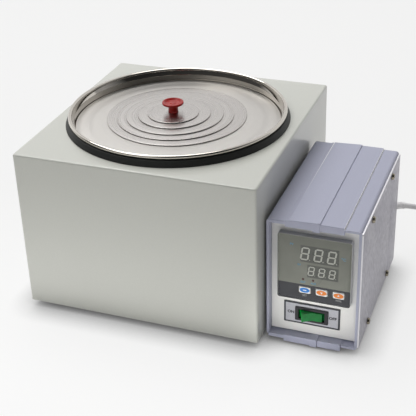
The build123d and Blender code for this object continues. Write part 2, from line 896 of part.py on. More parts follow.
with BuildPart() as rear_panel_screws:
    rear_face = rear_panel_front + panel_sheet
    with BuildSketch(Plane.XZ.offset(-rear_face)):
        with Locations(*rear_screw_places):
            Circle(m3_head_radius)
    extrude(amount=-m3_head)
    with BuildSketch(Plane.XZ.offset(-rear_face)):
        with Locations(*rear_screw_places):
            Circle(m3_radius)
    extrude(amount=panel_sheet + ledge + boss_length - 1)

rear_panel_screws.part.label = "rear_panel_screws"
export_step(rear_panel_screws.part, "parts/rear_panel_screws.step")

# Controller case: a square bezel in front of the panel and a body behind it.
controller_front = panel_front - controller_proud
lens_front = controller_front + lens_inset
lens_back = lens_front + lens_sheet
window_back = lens_back + controller_wall
board_front = window_back + display_depth
board_back = board_front + board_sheet
controller_rear = panel_front + controller_depth
lens_side = controller_face - 2 * lens_border
case_cavity = controller_body - 2 * controller_wall


def at_controller(places):
    return [(controller_x + x, controller_z + z) for x, z in places]


with BuildPart() as controller_case:
    with BuildSketch(Plane.XZ.offset(-panel_front)):
        with Locations((controller_x, controller_z)):
            RectangleRounded(controller_face, controller_face, controller_corner)
    extrude(amount=controller_proud)
    fillet(controller_case.faces().sort_by(Axis.Y)[0].edges(), lens_border * 0.6)
    with BuildSketch(Plane.XZ.offset(-panel_front)):
        with Locations((controller_x, controller_z)):
            Rectangle(controller_body, controller_body)
    extrude(amount=-controller_depth)
    with BuildSketch(Plane.XZ.offset(-controller_front)):
        with Locations((controller_x, controller_z)):
            RectangleRounded(lens_side, lens_side, controller_corner - lens_border / 2)
    extrude(amount=-lens_inset - lens_sheet, mode=Mode.SUBTRACT)
    with BuildSketch(Plane.XZ.offset(-window_back)):
        with Locations((controller_x, controller_z)):
            Rectangle(case_cavity, case_cavity)
    extrude(amount=window_back - controller_rear, mode=Mode.SUBTRACT)
    with BuildSketch(Plane.XZ.offset(-lens_back)):
        with Locations(*at_controller([upper_window_place])):
            Rectangle(*upper_window)
        with Locations(*at_controller([lower_window_place])):
            Rectangle(*lower_window)
        with Locations(*at_controller(led_places)):
            Circle(led_radius + slide_gap)
        with Locations(*at_controller(button_places)):
            RectangleRounded(
                button_size[0] + 2 * button_gap,
                button_size[1] + 2 * button_gap,
                button_round + button_gap,
            )
    extrude(amount=-controller_wall, mode=Mode.SUBTRACT)

controller_case.part.label = "controller_case"
export_step(controller_case.part, "parts/controller_case.step")

with BuildPart() as controller_lens:
    with BuildSketch(Plane.XZ.offset(-lens_front)):
        with Locations((controller_x, controller_z)):
            RectangleRounded(
                lens_side - 2 * slide_gap,
                lens_side - 2 * slide_gap,
                controller_corner - lens_border / 2 - slide_gap,
            )
        with Locations(*at_controller(button_places)):
            RectangleRounded(
                button_size[0] + 2 * button_gap,
                button_size[1] + 2 * button_gap,
                button_round + button_gap,
                mode=Mode.SUBTRACT,
            )
    extrude(amount=-lens_sheet)

controller_lens.part.label = "controller_lens"
export_step(controller_lens.part, "parts/controller_lens.step")

with BuildPart() as display_board:
    with BuildSketch(Plane.XZ.offset(-board_front)):
        with Locations((controller_x, controller_z)):
            Rectangle(case_cavity - 2 * slide_gap, case_cavity - 2 * slide_gap)
    extrude(amount=-board_sheet)

display_board.part.label = "display_board"
export_step(display_board.part, "parts/display_board.step")

# Two rows of three digits, each a sealed module that stands on the board.
for name, size, place in (
    ("upper_display", upper_window, upper_window_place),
    ("lower_display", lower_window, lower_window_place),
):
    with BuildPart() as display:
        with BuildSketch(Plane.XZ.offset(-board_front)):
            with Locations(*at_controller([place])):
                Rectangle(size[0] - 2 * slide_gap, size[1] - 2 * slide_gap)
        extrude(amount=display_depth + controller_wall - slide_gap)
    display.part.label = name
    export_step(display.part, f"parts/{name}.step")

with BuildPart() as indicator_leds:
    with BuildSketch(Plane.XZ.offset(-board_front)):
        with Locations(*at_controller(led_places)):
            Circle(led_radius)
    extrude(amount=display_depth + controller_wall - slide_gap)

indicator_leds.part.label = "indicator_leds"
export_step(indicator_leds.part, "parts/indicator_leds.step")

# Buttons: a pad through the lens, a flange behind the wall and a stem to its key switch.
flange_front = window_back + slide_gap / 2
stem_end = board_front - display_depth / 3
key_switch_front = stem_end + button_travel + slide_gap

for name, place in zip(button_names, button_places):
    with BuildPart() as button:
        with BuildSketch(Plane.XZ.offset(-flange_front)):
            with Locations(*at_controller([place])):
                RectangleRounded(*button_size, button_round)
        extrude(amount=flange_front - lens_front + button_proud)
        with BuildSketch(Plane.XZ.offset(-flange_front)):
            with Locations(*at_controller([place])):
                Rectangle(button_size[0] + 2 * button_flange, button_size[1] + 2 * button_flange)
        extrude(amount=-button_flange)
        with BuildSketch(Plane.XZ.offset(-flange_front - button_flange)):
            with Locations(*at_controller([place])):
                Circle(m4_radius)
        extrude(amount=flange_front + button_flange - stem_end)
    button.part.label = name
    export_step(button.part, f"parts/{name}.step")

with BuildPart() as key_switches:
    with BuildSketch(Plane.XZ.offset(-board_front)):
        with Locations(*at_controller(button_places)):
            Rectangle(key_switch_size, key_switch_size)
    extrude(amount=board_front - key_switch_front)

key_switches.part.label = "key_switches"
export_step(key_switches.part, "parts/key_switches.step")

with BuildPart() as controller_back:
    with BuildSketch(Plane.XZ.offset(-controller_rear)):
        with Locations((controller_x, controller_z)):
            Rectangle(case_cavity - 2 * slide_gap, case_cavity - 2 * slide_gap)
    extrude(amount=controller_wall)
    with BuildSketch(Plane.XZ.offset(-controller_rear)):
        with Locations((controller_x, controller_z)):
            with GridLocations(case_cavity / 2, 1, 2, 1):
                Rectangle(terminal_size[0] * 2, case_cavity * 0.8)
    extrude(amount=-terminal_length)

controller_back.part.label = "controller_back"
export_step(controller_back.part, "parts/controller_back.step")

# Clamp that pulls the controller's bezel against the panel.
clamp_side = controller_body + 2 * slide_gap + 2 * controller_wall

with BuildPart() as controller_clamp:
    with BuildSketch(Plane.XZ.offset(-panel_front - panel_sheet)):
        with Locations((controller_x, controller_z)):
            Rectangle(clamp_side, clamp_side)
            Rectangle(
                controller_body + 2 * slide_gap,
                controller_body + 2 * slide_gap,
                mode=Mode.SUBTRACT,
            )
    extrude(amount=-controller_depth / 4)

controller_clamp.part.label = "controller_clamp"
export_step(controller_clamp.part, "parts/controller_clamp.step")

# Mains switch: its label plate, its body with a well, and the rocker on a pin.
switch_plate_front = panel_front - switch_plate_sheet
switch_front = switch_plate_front - switch_bezel
switch_rear = switch_plate_front + switch_body_depth
pivot_y = switch_front + rocker_pivot_depth

with BuildPart() as switch_plate:
    with BuildSketch(Plane.XZ.offset(-panel_front)):
        with Locations((switch_x, switch_z)):
            RectangleRounded(*switch_plate_size, switch_plate_sheet)
            Rectangle(
                switch_body_size[0] + 2 * slide_gap,
                switch_body_size[1] + 2 * slide_gap,
                mode=Mode.SUBTRACT,
            )
    extrude(amount=switch_plate_sheet)

switch_plate.part.label = "switch_plate"
export_step(switch_plate.part, "parts/switch_plate.step")

with BuildPart() as switch_body:
    with BuildSketch(Plane.XZ.offset(-switch_plate_front)):
        with Locations((switch_x, switch_z)):
            RectangleRounded(*switch_bezel_size, switch_bezel / 2)
    extrude(amount=switch_bezel)
    fillet(switch_body.faces().sort_by(Axis.Y)[0].edges(), switch_bezel / 3)
    with BuildSketch(Plane.XZ.offset(-switch_plate_front)):
        with Locations((switch_x, switch_z)):
            Rectangle(*switch_body_size)
    extrude(amount=-switch_body_depth)
    with BuildSketch(Plane.XZ.offset(-switch_front)):
        with Locations((switch_x, switch_z)):
            Rectangle(*switch_well_size)
    extrude(amount=-switch_well_depth, mode=Mode.SUBTRACT)
    with BuildSketch(Plane.XY.offset(switch_z - switch_well_size[1] / 2 - rocker_pin_reach)):
        with Locations((switch_x, pivot_y)):
            Circle(rocker_pin_radius + pin_gap)
    extrude(amount=switch_well_size[1] + 2 * rocker_pin_reach, mode=Mode.SUBTRACT)

switch_body.part.label = "switch_body"
export_step(switch_body.part, "parts/switch_body.step")

with BuildPart() as switch_terminals:
    with BuildSketch(Plane.XZ.offset(-switch_rear)):
        with Locations((switch_x, switch_z)):
            with GridLocations(terminal_pitch, 1, 3, 1):
                Rectangle(terminal_size[1], terminal_size[0])
    extrude(amount=-terminal_length)

switch_terminals.part.label = "switch_terminals"
export_step(switch_terminals.part, "parts/switch_terminals.step")

# The rocker's ends are round about its pin, so it turns in a well of its own length.
rocker_height = switch_well_size[1] - 2 * slide_gap
rocker_plane = Plane(
    origin=(switch_x, pivot_y, switch_z - rocker_height / 2),
    x_dir=(cos(radians(rocker_tilt)), sin(radians(rocker_tilt)), 0),
    z_dir=(0, 0, 1),
)
facet_y = -rocker_pivot_depth - rocker_rise
facet_x = sqrt(rocker_radius**2 - facet_y**2)
back_x = sqrt(rocker_radius**2 - rocker_back**2)

with BuildPart() as switch_rocker:
    with BuildSketch(rocker_plane):
        with BuildLine():
            Polyline(
                (facet_x, facet_y),
                (0, facet_y + rocker_rise - rocker_dip),
                (-facet_x, facet_y),
            )
            ThreePointArc((-facet_x, facet_y), (-rocker_radius, 0), (-back_x, rocker_back))
            Line((-back_x, rocker_back), (back_x, rocker_back))
            ThreePointArc((back_x, rocker_back), (rocker_radius, 0), (facet_x, facet_y))
        make_face()
    extrude(amount=rocker_height)
    with BuildSketch(Plane.XY.offset(switch_z - rocker_height / 2 - rocker_pin_reach)):
        with Locations((switch_x, pivot_y)):
            Circle(rocker_pin_radius)
    extrude(amount=rocker_height + 2 * rocker_pin_reach)

switch_rocker.part.label = "switch_rocker"
export_step(switch_rocker.part, "parts/switch_rocker.step")

# Fixing of the control box: spacers in the gap, four bolts with nuts and a grommet.
with BuildPart() as box_spacers:
    with BuildSketch(Plane.YZ.offset(casing_right)):
        with Locations(*bolt_places):
            Circle(spacer_radius)
            Circle(m4_radius + slide_gap, mode=Mode.SUBTRACT)
    extrude(amount=housing_gap)

box_spacers.part.label = "box_spacers"
export_step(box_spacers.part, "parts/box_spacers.step")

bolt_head_x = housing_left + housing_wall
with BuildPart() as box_bolts:
    with BuildSketch(Plane.YZ.offset(bolt_head_x)):
        with Locations(*bolt_places):
            Circle(m4_head_radius)
    extrude(amount=m4_head)
    with BuildSketch(Plane.YZ.offset(bolt_head_x)):
        with Locations(*bolt_places):
            Circle(m4_radius)
    extrude(amount=-housing_wall - housing_gap - casing_sheet - m4_nut - m4_radius / 2)

box_bolts.part.label = "box_bolts"
export_step(box_bolts.part, "parts/box_bolts.step")

with BuildPart() as box_nuts:
    with BuildSketch(Plane.YZ.offset(casing_right - casing_sheet)):
        with Locations(*bolt_places):
            RegularPolygon(m4_nut_flats / 2, 6, major_radius=False)
            Circle(m4_radius + pin_gap, mode=Mode.SUBTRACT)
    extrude(amount=-m4_nut)

box_nuts.part.label = "box_nuts"
export_step(box_nuts.part, "parts/box_nuts.step")

bushing_left = casing_right - casing_sheet
bushing_length = casing_sheet + housing_gap + housing_wall
with BuildPart() as wire_bushing:
    with BuildSketch(Plane.YZ.offset(bushing_left)):
        with Locations(bushing_place):
            Circle(bushing_radius)
    extrude(amount=bushing_length)
    with BuildSketch(Plane.YZ.offset(bushing_left)):
        with Locations(bushing_place):
            Circle(bushing_flange_radius)
    extrude(amount=-bushing_flange)
    with BuildSketch(Plane.YZ.offset(bushing_left + bushing_length)):
        with Locations(bushing_place):
            Circle(bushing_flange_radius)
    extrude(amount=bushing_flange)
    with BuildSketch(Plane.YZ.offset(bushing_left - bushing_flange)):
        with Locations(bushing_place):
            Circle(bushing_bore)
    extrude(amount=bushing_length + 2 * bushing_flange, mode=Mode.SUBTRACT)

wire_bushing.part.label = "wire_bushing"
export_step(wire_bushing.part, "parts/wire_bushing.step")

# Relay on its finned heat sink and the terminal block, both on the box's left wall.
sink_y = housing_front + sink_back
sink_z = housing_bottom + sink_height
with BuildPart() as heat_sink:
    with BuildSketch(Plane.YZ.offset(bolt_head_x)):
        with Locations((sink_y, sink_z)):
            Rectangle(*sink_size)
    extrude(amount=sink_base)
    with BuildSketch(Plane.YZ.offset(bolt_head_x + sink_base)):
        with Locations((sink_y, sink_z + relay_size[1] / 2)):
            with GridLocations(sink_fin_pitch, 1, sink_fins, 1):
                Rectangle(sink_fin, sink_size[1] - relay_size[1])
    extrude(amount=sink_fin_length)

heat_sink.part.label = "heat_sink"
export_step(heat_sink.part, "parts/heat_sink.step")

with BuildPart() as relay:
    with BuildSketch(Plane.YZ.offset(bolt_head_x + sink_base)):
        with Locations((sink_y, sink_z - (sink_size[1] - relay_size[1]) / 2)):
            Rectangle(*relay_size)
    extrude(amount=relay_depth)
    chamfer(relay.faces().sort_by(Axis.X)[-1].edges(), ledge)

relay.part.label = "relay"
export_step(relay.part, "parts/relay.step")

with BuildPart() as terminal_block:
    block_y = housing_front + terminal_block_back
    block_z = housing_bottom + terminal_block_height
    with BuildSketch(Plane.YZ.offset(bolt_head_x)):
        with Locations((block_y, block_z)):
            Rectangle(*terminal_block_size)
    extrude(amount=terminal_block_depth)
    with BuildSketch(Plane.YZ.offset(bolt_head_x + terminal_block_depth)):
        with Locations((block_y, block_z)):
            with GridLocations(terminal_block_size[0] / terminal_ways, 1, terminal_ways, 1):
                Circle(m4_radius)
    extrude(amount=-terminal_well, mode=Mode.SUBTRACT)

terminal_block.part.label = "terminal_block"
export_step(terminal_block.part, "parts/terminal_block.step")

# Boot of the cord: a flange and neck in the rear panel, then a bent taper.
rear_face = rear_panel_front + panel_sheet
boot_radius = boot_length / radians(boot_bend)
boot_side = Vector(cos(radians(boot_fall)), 0, -sin(radians(boot_fall)))
boot_root = Vector(cord_exit_x, rear_face, cord_exit_z)


def boot_point(angle):
    return (
        boot_root
        + boot_side * (boot_radius * (1 - cos(radians(angle))))
        + Vector(0, boot_radius * sin(radians(angle)), 0)
    )


def boot_direction(angle):
    return boot_side * sin(radians(angle)) + Vector(0, cos(radians(angle)), 0)


with BuildPart() as strain_relief:
    for section in range(boot_sections + 1):
        angle = boot_bend * section / boot_sections
        section_plane = Plane(
            origin=boot_point(angle),
            x_dir=boot_direction(angle + 90),
            z_dir=boot_direction(angle),
        )
        with BuildSketch(section_plane):
            Circle(boot_root_radius + (boot_tip_radius - boot_root_radius) * section / boot_sections)
    loft()
    with BuildSketch(Plane.XZ.offset(-rear_face)):
        with Locations((cord_exit_x, cord_exit_z)):
            Circle(boot_neck_radius)
    extrude(amount=panel_sheet)
    with BuildSketch(Plane.XZ.offset(-rear_panel_front)):
        with Locations((cord_exit_x, cord_exit_z)):
            Circle(boot_flange_radius)
    extrude(amount=boot_flange)

strain_relief.part.label = "strain_relief"
export_step(strain_relief.part, "parts/strain_relief.step")

# Free stretch of the cord: straight runs and tangent arcs from the boot down to the bench.
coil_x, coil_y = coil_centre
low_z = cord_radius + tie_sheet
high_z = low_z + coil_layer
coil_start = Vector(coil_x - coil_lead_in, coil_y + coil_outer_radius, low_z)
boot_tip = boot_point(boot_bend)
cord_points = [
    boot_tip,
    boot_tip + boot_direction(boot_bend) * cord_first_run,
    Vector(210, 125, 38),
    Vector(226, 136.5, 23),
    Vector(243, 144, 10.5),
    Vector(258, coil_start.Y, low_z),
    coil_start,
]
cord_radii = []
for before, corner, after in zip(cord_points, cord_points[1:], cord_points[2:]):
    shorter = min((corner - before).length, (after - corner).length)
    half_turn = radians((corner - before).get_angle(after - corner)) / 2
    cord_radii.append(0.45 * shorter / tan(half_turn))
print("power_cord bend radii", [round(radius, 1) for radius in cord_radii])

with BuildPart() as power_cord:
    with BuildLine() as cord_line:
        FilletPolyline(*cord_points, radius=cord_radii)
    with BuildSketch(Plane(origin=cord_points[0], z_dir=boot_direction(boot_bend))):
        Circle(cord_radius)
    sweep(path=cord_line.wire())

power_cord.part.label = "power_cord"
export_step(power_cord.part, "parts/power_cord.step")
cord_length = cord_line.wire().length
print("power_cord length", cord_length, "volume", power_cord.part.volume)
print("power_cord section times length", pi * cord_radius**2 * cord_length)

# Rest of the cord: an unbroken coil that winds inwards, climbs and winds outwards on top.
quarters_in = 4 * coil_turns_in
inner_radius = coil_outer_radius - coil_pitch * coil_turns_in
drift = coil_pitch / (2 * pi)
climb = coil_layer * 1.5 / (pi * coil_climb_radius)
coil_stops = [(0, coil_outer_radius, low_z, 0, 0)]
for quarter in range(1, quarters_in):
    coil_stops.append(
        (quarter, coil_outer_radius - coil_pitch * quarter / 4, low_z, -drift, 0)
    )
coil_stops.append((quarters_in, inner_radius, low_z, -drift, 0))
coil_stops.append((quarters_in + 1, coil_climb_radius, (low_z + high_z) / 2, 0, climb))
for quarter in range(coil_quarters_out + 1):
    slope = 0 if quarter == coil_quarters_out else drift
    coil_stops.append(
        (quarters_in + 2 + quarter, inner_radius + coil_pitch * quarter / 4, high_z, slope, 0)
    )


def coil_point(stop):
    angle = radians(90 - 90 * stop[0])
    return Vector(coil_x + stop[1] * cos(angle), coil_y + stop[1] * sin(angle), stop[2])


def coil_direction(stop):
    angle = radians(90 - 90 * stop[0])
    outwards = Vector(cos(angle), sin(angle), 0)
    onwards = Vector(sin(angle), -cos(angle), 0)
    return (onwards + outwards * (stop[3] / stop[1]) + Vector(0, 0, stop[4])).normalized()


with BuildPart() as cord_coil:
    with BuildLine() as coil_line:
        Line(coil_start, coil_point(coil_stops[0]))
        for stop, following in zip(coil_stops, coil_stops[1:]):
            start, heading = coil_point(stop), coil_direction(stop)
            end, arrival = coil_point(following), coil_direction(following)
            span, both = end - start, heading + arrival
            rest = 4 - both.dot(both)
            reach = (sqrt(span.dot(both) ** 2 + rest * span.dot(span)) - span.dot(both)) / rest
            joint_start = start + heading * reach
            joint_end = end - arrival * reach
            joint = (joint_start + joint_end) / 2
            TangentArc(start, joint, tangent=heading)
            TangentArc(joint, end, tangent=joint_end - joint_start)
        coil_exit = coil_point(coil_stops[-1])
        coil_end = coil_exit + coil_direction(coil_stops[-1]) * coil_lead_out
        Line(coil_exit, coil_end)
    with BuildSketch(Plane(origin=coil_start, z_dir=(1, 0, 0))):
        Circle(cord_radius)
    sweep(path=coil_line.wire())

cord_coil.part.label = "cord_coil"
export_step(cord_coil.part, "parts/cord_coil.step")
coil_length = coil_line.wire().length
print("cord_coil length", coil_length, "volume", cord_coil.part.volume)
print("cord_coil section times length", pi * cord_radius**2 * coil_length)
marks = round(coil_length / 2)
coil_path = coil_line.wire()
coil_places = [coil_path.position_at(mark / marks) for mark in range(marks + 1)]
coil_gaps = [
    (one - other).length - 2 * cord_radius
    for number, one in enumerate(coil_places)
    for other in coil_places[number + 12 :]
]
print("cord_coil smallest gap to itself", round(min(coil_gaps), 2))
print("whole cord", round(cord_length + coil_length + boot_length))

# Strip that ties the coil together where its turns pass the front.
bundle_outer = coil_outer_radius - coil_pitch / 2 + cord_radius + slide_gap
bundle_inner = coil_climb_radius - cord_radius
bundle_top = high_z + cord_radius + slide_gap
bundle_y = coil_y - (bundle_outer + bundle_inner) / 2
with BuildPart() as cord_tie:
    with BuildSketch(Plane.YZ.offset(coil_x - tie_width / 2)):
        with Locations((bundle_y, (bundle_top + tie_sheet) / 2)):
            RectangleRounded(
                bundle_outer - bundle_inner + 2 * tie_sheet, bundle_top + tie_sheet, 2 * tie_sheet
            )
            RectangleRounded(
                bundle_outer - bundle_inner,
                bundle_top - tie_sheet,
                tie_sheet,
                mode=Mode.SUBTRACT,
            )
    extrude(amount=tie_width)

cord_tie.part.label = "cord_tie"
export_step(cord_tie.part, "parts/cord_tie.step")

# Plug on the end of the coil, on its side on the bench, with two slanted blades and an earth.
plug_x, plug_z = coil_end.X, coil_end.Z
body_start = coil_end.Y - plug_neck_length
plug_face = body_start - plug_length
with BuildPart() as plug_body:
    with BuildSketch(Plane.XZ.offset(-body_start)):
        with Locations((plug_x, plug_z)):
            RectangleRounded(plug_width, 2 * plug_z, plug_round)
    extrude(amount=plug_length)
    fillet(plug_body.faces().sort_by(Axis.Y)[-1].edges(), plug_round / 2)
    with BuildSketch(Plane.XZ.offset(-coil_end.Y)):
        with Locations((plug_x, plug_z)):
            Circle(plug_neck_radius)
    extrude(amount=plug_neck_length)

plug_body.part.label = "plug_body"
export_step(plug_body.part, "parts/plug_body.step")

with BuildPart() as plug_pins:
    with BuildSketch(Plane.XZ.offset(-plug_face)):
        with Locations(
            Location((plug_x - blade_radius_out, plug_z + blade_rise, 0), blade_tilt),
            Location((plug_x + blade_radius_out, plug_z + blade_rise, 0), -blade_tilt),
        ):
            Rectangle(blade_size[1], blade_size[0])
        with Locations((plug_x, plug_z - earth_drop)):
            Rectangle(blade_size[1], blade_size[0])
    extrude(amount=blade_length)

plug_pins.part.label = "plug_pins"
export_step(plug_pins.part, "parts/plug_pins.step")
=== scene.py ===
import bpy
import math
from mathutils import Matrix, Vector


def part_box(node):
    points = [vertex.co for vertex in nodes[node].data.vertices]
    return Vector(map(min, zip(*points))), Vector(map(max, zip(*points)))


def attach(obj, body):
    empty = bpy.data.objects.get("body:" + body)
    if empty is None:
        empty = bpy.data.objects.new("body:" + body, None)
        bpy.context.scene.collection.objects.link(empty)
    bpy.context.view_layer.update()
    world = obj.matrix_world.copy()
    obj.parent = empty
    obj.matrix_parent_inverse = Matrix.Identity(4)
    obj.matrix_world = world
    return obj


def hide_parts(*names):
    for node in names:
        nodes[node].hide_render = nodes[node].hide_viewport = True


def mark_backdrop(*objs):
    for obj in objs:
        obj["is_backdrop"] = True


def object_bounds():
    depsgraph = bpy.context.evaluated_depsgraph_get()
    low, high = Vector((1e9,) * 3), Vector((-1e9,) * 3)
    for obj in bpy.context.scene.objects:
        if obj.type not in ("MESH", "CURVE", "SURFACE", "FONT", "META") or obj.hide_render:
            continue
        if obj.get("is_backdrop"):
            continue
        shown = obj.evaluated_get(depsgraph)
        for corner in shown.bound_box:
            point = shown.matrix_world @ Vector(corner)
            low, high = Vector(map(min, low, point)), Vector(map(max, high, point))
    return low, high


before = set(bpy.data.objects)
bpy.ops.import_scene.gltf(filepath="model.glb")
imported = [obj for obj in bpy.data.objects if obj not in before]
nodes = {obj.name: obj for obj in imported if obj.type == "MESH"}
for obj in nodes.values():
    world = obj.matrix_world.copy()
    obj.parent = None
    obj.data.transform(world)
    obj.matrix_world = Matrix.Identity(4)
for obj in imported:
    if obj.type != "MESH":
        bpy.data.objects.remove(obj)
for startupName in ("Cube", "Light", "Camera"):
    if startupName in bpy.data.objects:
        bpy.data.objects.remove(bpy.data.objects[startupName])
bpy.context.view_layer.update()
mm = 0.001

# The scene is written in millimetres and built in metres. Finishes and pieces share these places.
pot = {"x": -49.7, "y": 0.0, "top": 178.0, "steps": 160}
rings = {
    "x": -55.0, "y": 4.0, "bottom": 176.5, "sheet": 1.0, "overlap": 5.0,
    "radii": (73.0, 61.0, 51.0, 38.0, 26.5), "lips": (58.2, 53.5, 43.5, 31.0, 19.5),
    "collar": 2.2, "collarWall": 1.0, "undercut": (0.8, 0.55),
    # Each ring lies a little off the one below it.
    "play": ((1.5, 2.0), (0.5, 0.6), (-0.4, 0.8), (-0.6, 0.2), (-1.3, -0.8)),
}
box = {"left": 79.3, "front": -107.5, "bottom": 6.5, "top": 138.5, "bandLeft": 21.8, "bandRight": 74.6}
controller = {"x": 125.3, "z": 88.0, "front": -105.5, "lensFront": -105.2, "side": 72.0, "bandTop": 70.4}
switch = {"x": 122.9, "z": 33.1, "plateFront": -100.3, "plate": (56.0, 24.5)}


def deselectAll():
    if bpy.context.mode != "OBJECT":
        bpy.ops.object.mode_set(mode="OBJECT")
    bpy.ops.object.select_all(action="DESELECT")


def pick(piece):
    deselectAll()
    piece.select_set(True)
    bpy.context.view_layer.objects.active = piece


def metres(point):
    return tuple(value * mm for value in point)


# Finishes

def colour(code):
    parts = [int(code[i:i + 2], 16) / 255 for i in (1, 3, 5)]
    return tuple(p / 12.92 if p <= 0.04045 else ((p + 0.055) / 1.055) ** 2.4 for p in parts) + (1.0,)


def addNode(tree, kind, inputs=None, **settings):
    # Adds a node, links or sets its inputs, and gives back its outputs.
    node = tree.nodes.new(kind)
    for name, value in settings.items():
        setattr(node, name, value)
    for name, value in (inputs or {}).items():
        if isinstance(value, bpy.types.NodeSocket):
            tree.links.new(value, node.inputs[name])
        else:
            node.inputs[name].default_value = value
    return node.outputs


def newMaterial(name, base, roughness, metallic=0.0, **sockets):
    material = bpy.data.materials.new(name)
    material.use_nodes = True
    shader = material.node_tree.nodes["Principled BSDF"]
    shader.inputs["Base Color"].default_value = colour(base)
    shader.inputs["Roughness"].default_value = roughness
    shader.inputs["Metallic"].default_value = metallic
    for socket, value in sockets.items():
        shader.inputs[socket.replace("_", " ")].default_value = value
    return material, material.node_tree, shader


def speckled(
    name, first, second, roughness, size, depth=0.0, metallic=0.0, spread=0.05, stretch=(1, 1, 1), **sockets,
):
    # Two close shades in blobs about size millimetres wide, which also stir the gloss and the surface.
    material, tree, shader = newMaterial(name, first, roughness, metallic, **sockets)
    spot = addNode(tree, "ShaderNodeTexCoord")["Object"]
    spot = addNode(tree, "ShaderNodeMapping", {"Vector": spot, "Scale": [1 / share for share in stretch]})[0]
    blobs = addNode(tree, "ShaderNodeTexNoise", {"Vector": spot, "Scale": 1 / (size * mm), "Detail": 3.0})[0]
    share = addNode(tree, "ShaderNodeMapRange", {"Value": blobs, "From Min": 0.3, "From Max": 0.7})[0]
    shade = addNode(tree, "ShaderNodeMix", {0: share, 6: colour(first), 7: colour(second)}, data_type="RGBA")[2]
    tree.links.new(shade, shader.inputs["Base Color"])
    if spread:
        low, high = roughness - spread, roughness + spread
        gloss = addNode(tree, "ShaderNodeMapRange", {"Value": share, "To Min": low, "To Max": high})[0]
        tree.links.new(gloss, shader.inputs["Roughness"])
    if depth:
        relief = addNode(tree, "ShaderNodeBump", {"Height": blobs, "Distance": depth * mm, "Strength": 1.0})[0]
        tree.links.new(relief, shader.inputs["Normal"])
    return material


def turnedSteel(name, base, roughness, centre, pitch, depth):
    # Rings about the piece's own centre, as the polishing wheel leaves them, and bands nine rings wide.
    material, tree, shader = newMaterial(name, base, roughness, 1.0)
    spot = addNode(tree, "ShaderNodeTexCoord")["Object"]
    middle = (-centre[0] * mm, -centre[1] * mm, 0)
    flat = addNode(tree, "ShaderNodeMapping", {"Vector": spot, "Location": middle, "Scale": (1, 1, 0)})[0]
    away = addNode(tree, "ShaderNodeVectorMath", {0: flat}, operation="LENGTH")["Value"]
    fineInputs = {"W": away, "Scale": 1 / (pitch * mm), "Detail": 2.0}
    wideInputs = {"W": away, "Scale": 1 / (pitch * 9 * mm), "Detail": 1.0}
    fine = addNode(tree, "ShaderNodeTexNoise", fineInputs, noise_dimensions="1D")[0]
    wide = addNode(tree, "ShaderNodeTexNoise", wideInputs, noise_dimensions="1D")[0]
    both = addNode(tree, "ShaderNodeMath", {0: fine, 1: wide}, operation="ADD")[0]
    gloss = addNode(tree, "ShaderNodeMapRange", {
        "Value": both, "From Min": 0.6, "From Max": 1.4, "To Min": roughness - 0.06, "To Max": roughness + 0.08,
    })[0]
    tree.links.new(gloss, shader.inputs["Roughness"])
    relief = addNode(tree, "ShaderNodeBump", {"Height": fine, "Distance": depth * mm, "Strength": 1.0})[0]
    tree.links.new(relief, shader.inputs["Normal"])
    return material


def paintOver(material, mask, code):
    # Another colour over the finish, where the mask is 1.
    tree = material.node_tree
    base = tree.nodes["Principled BSDF"].inputs["Base Color"]
    under = base.links[0].from_socket
    tree.links.new(addNode(tree, "ShaderNodeMix", {0: mask, 6: under, 7: colour(code)}, data_type="RGBA")[2], base)


# Stove enamel on sheet steel: an even pale face with a soft shine.
enamel = speckled(
    "enamelledSteel", "#D2D3CB", "#D0D1C9", 0.32, 2.2, 0.004, spread=0.02, Coat_Weight=0.5, Coat_Roughness=0.08,
)
# Spun stainless sheet: satin, with turning marks drawn coarser than they are so that they show.
coverSteel = turnedSteel("spunStainlessSteel", "#C1BDBA", 0.27, (rings["x"], rings["y"]), 0.8, 0.002)
plateSteel = turnedSteel("spunPlateSteel", "#BFBCB8", 0.38, (pot["x"], pot["y"]), 0.8, 0.0012)  # duller, more handled
# Pressed and polished stainless: nearly a mirror.
potSteel = turnedSteel("polishedStainlessSteel", "#CCC7BF", 0.08, (pot["x"], pot["y"]), 2.0, 0.001)
# Moulded nitrile rubber: black and matt.
gasketRubber = speckled("blackNitrileRubber", "#282928", "#303130", 0.5, 1.2, 0.01, Specular_IOR_Level=0.3)
footRubber = speckled("footRubber", "#1C1C1D", "#262627", 0.6, 1.0, 0.02)  # matt, a little dusty
# Moulded phenolic resin: deep red with one sharp highlight.
knobResin = speckled(
    "redPhenolicResin", "#AE1A14", "#9E150F", 0.3, 6.0,
    Coat_Weight=0.2, Coat_Roughness=0.06, Specular_IOR_Level=0.3,
)
# Moulded ABS with a spark-eroded grain, drawn coarser than it is: soft and blue-grey.
housingAbs = speckled("mouldedBlueGreyAbs", "#B7B9CB", "#B0B2C6", 0.46, 0.7, 0.012)
# Rolled aluminium sheet: streaked upwards, half bright.
sideAluminium = speckled(
    "rolledAluminiumSheet", "#BCBAC2", "#9A98A1", 0.46, 1.1, 0.04, metallic=0.8, spread=0.1, stretch=(1, 1, 5),
)
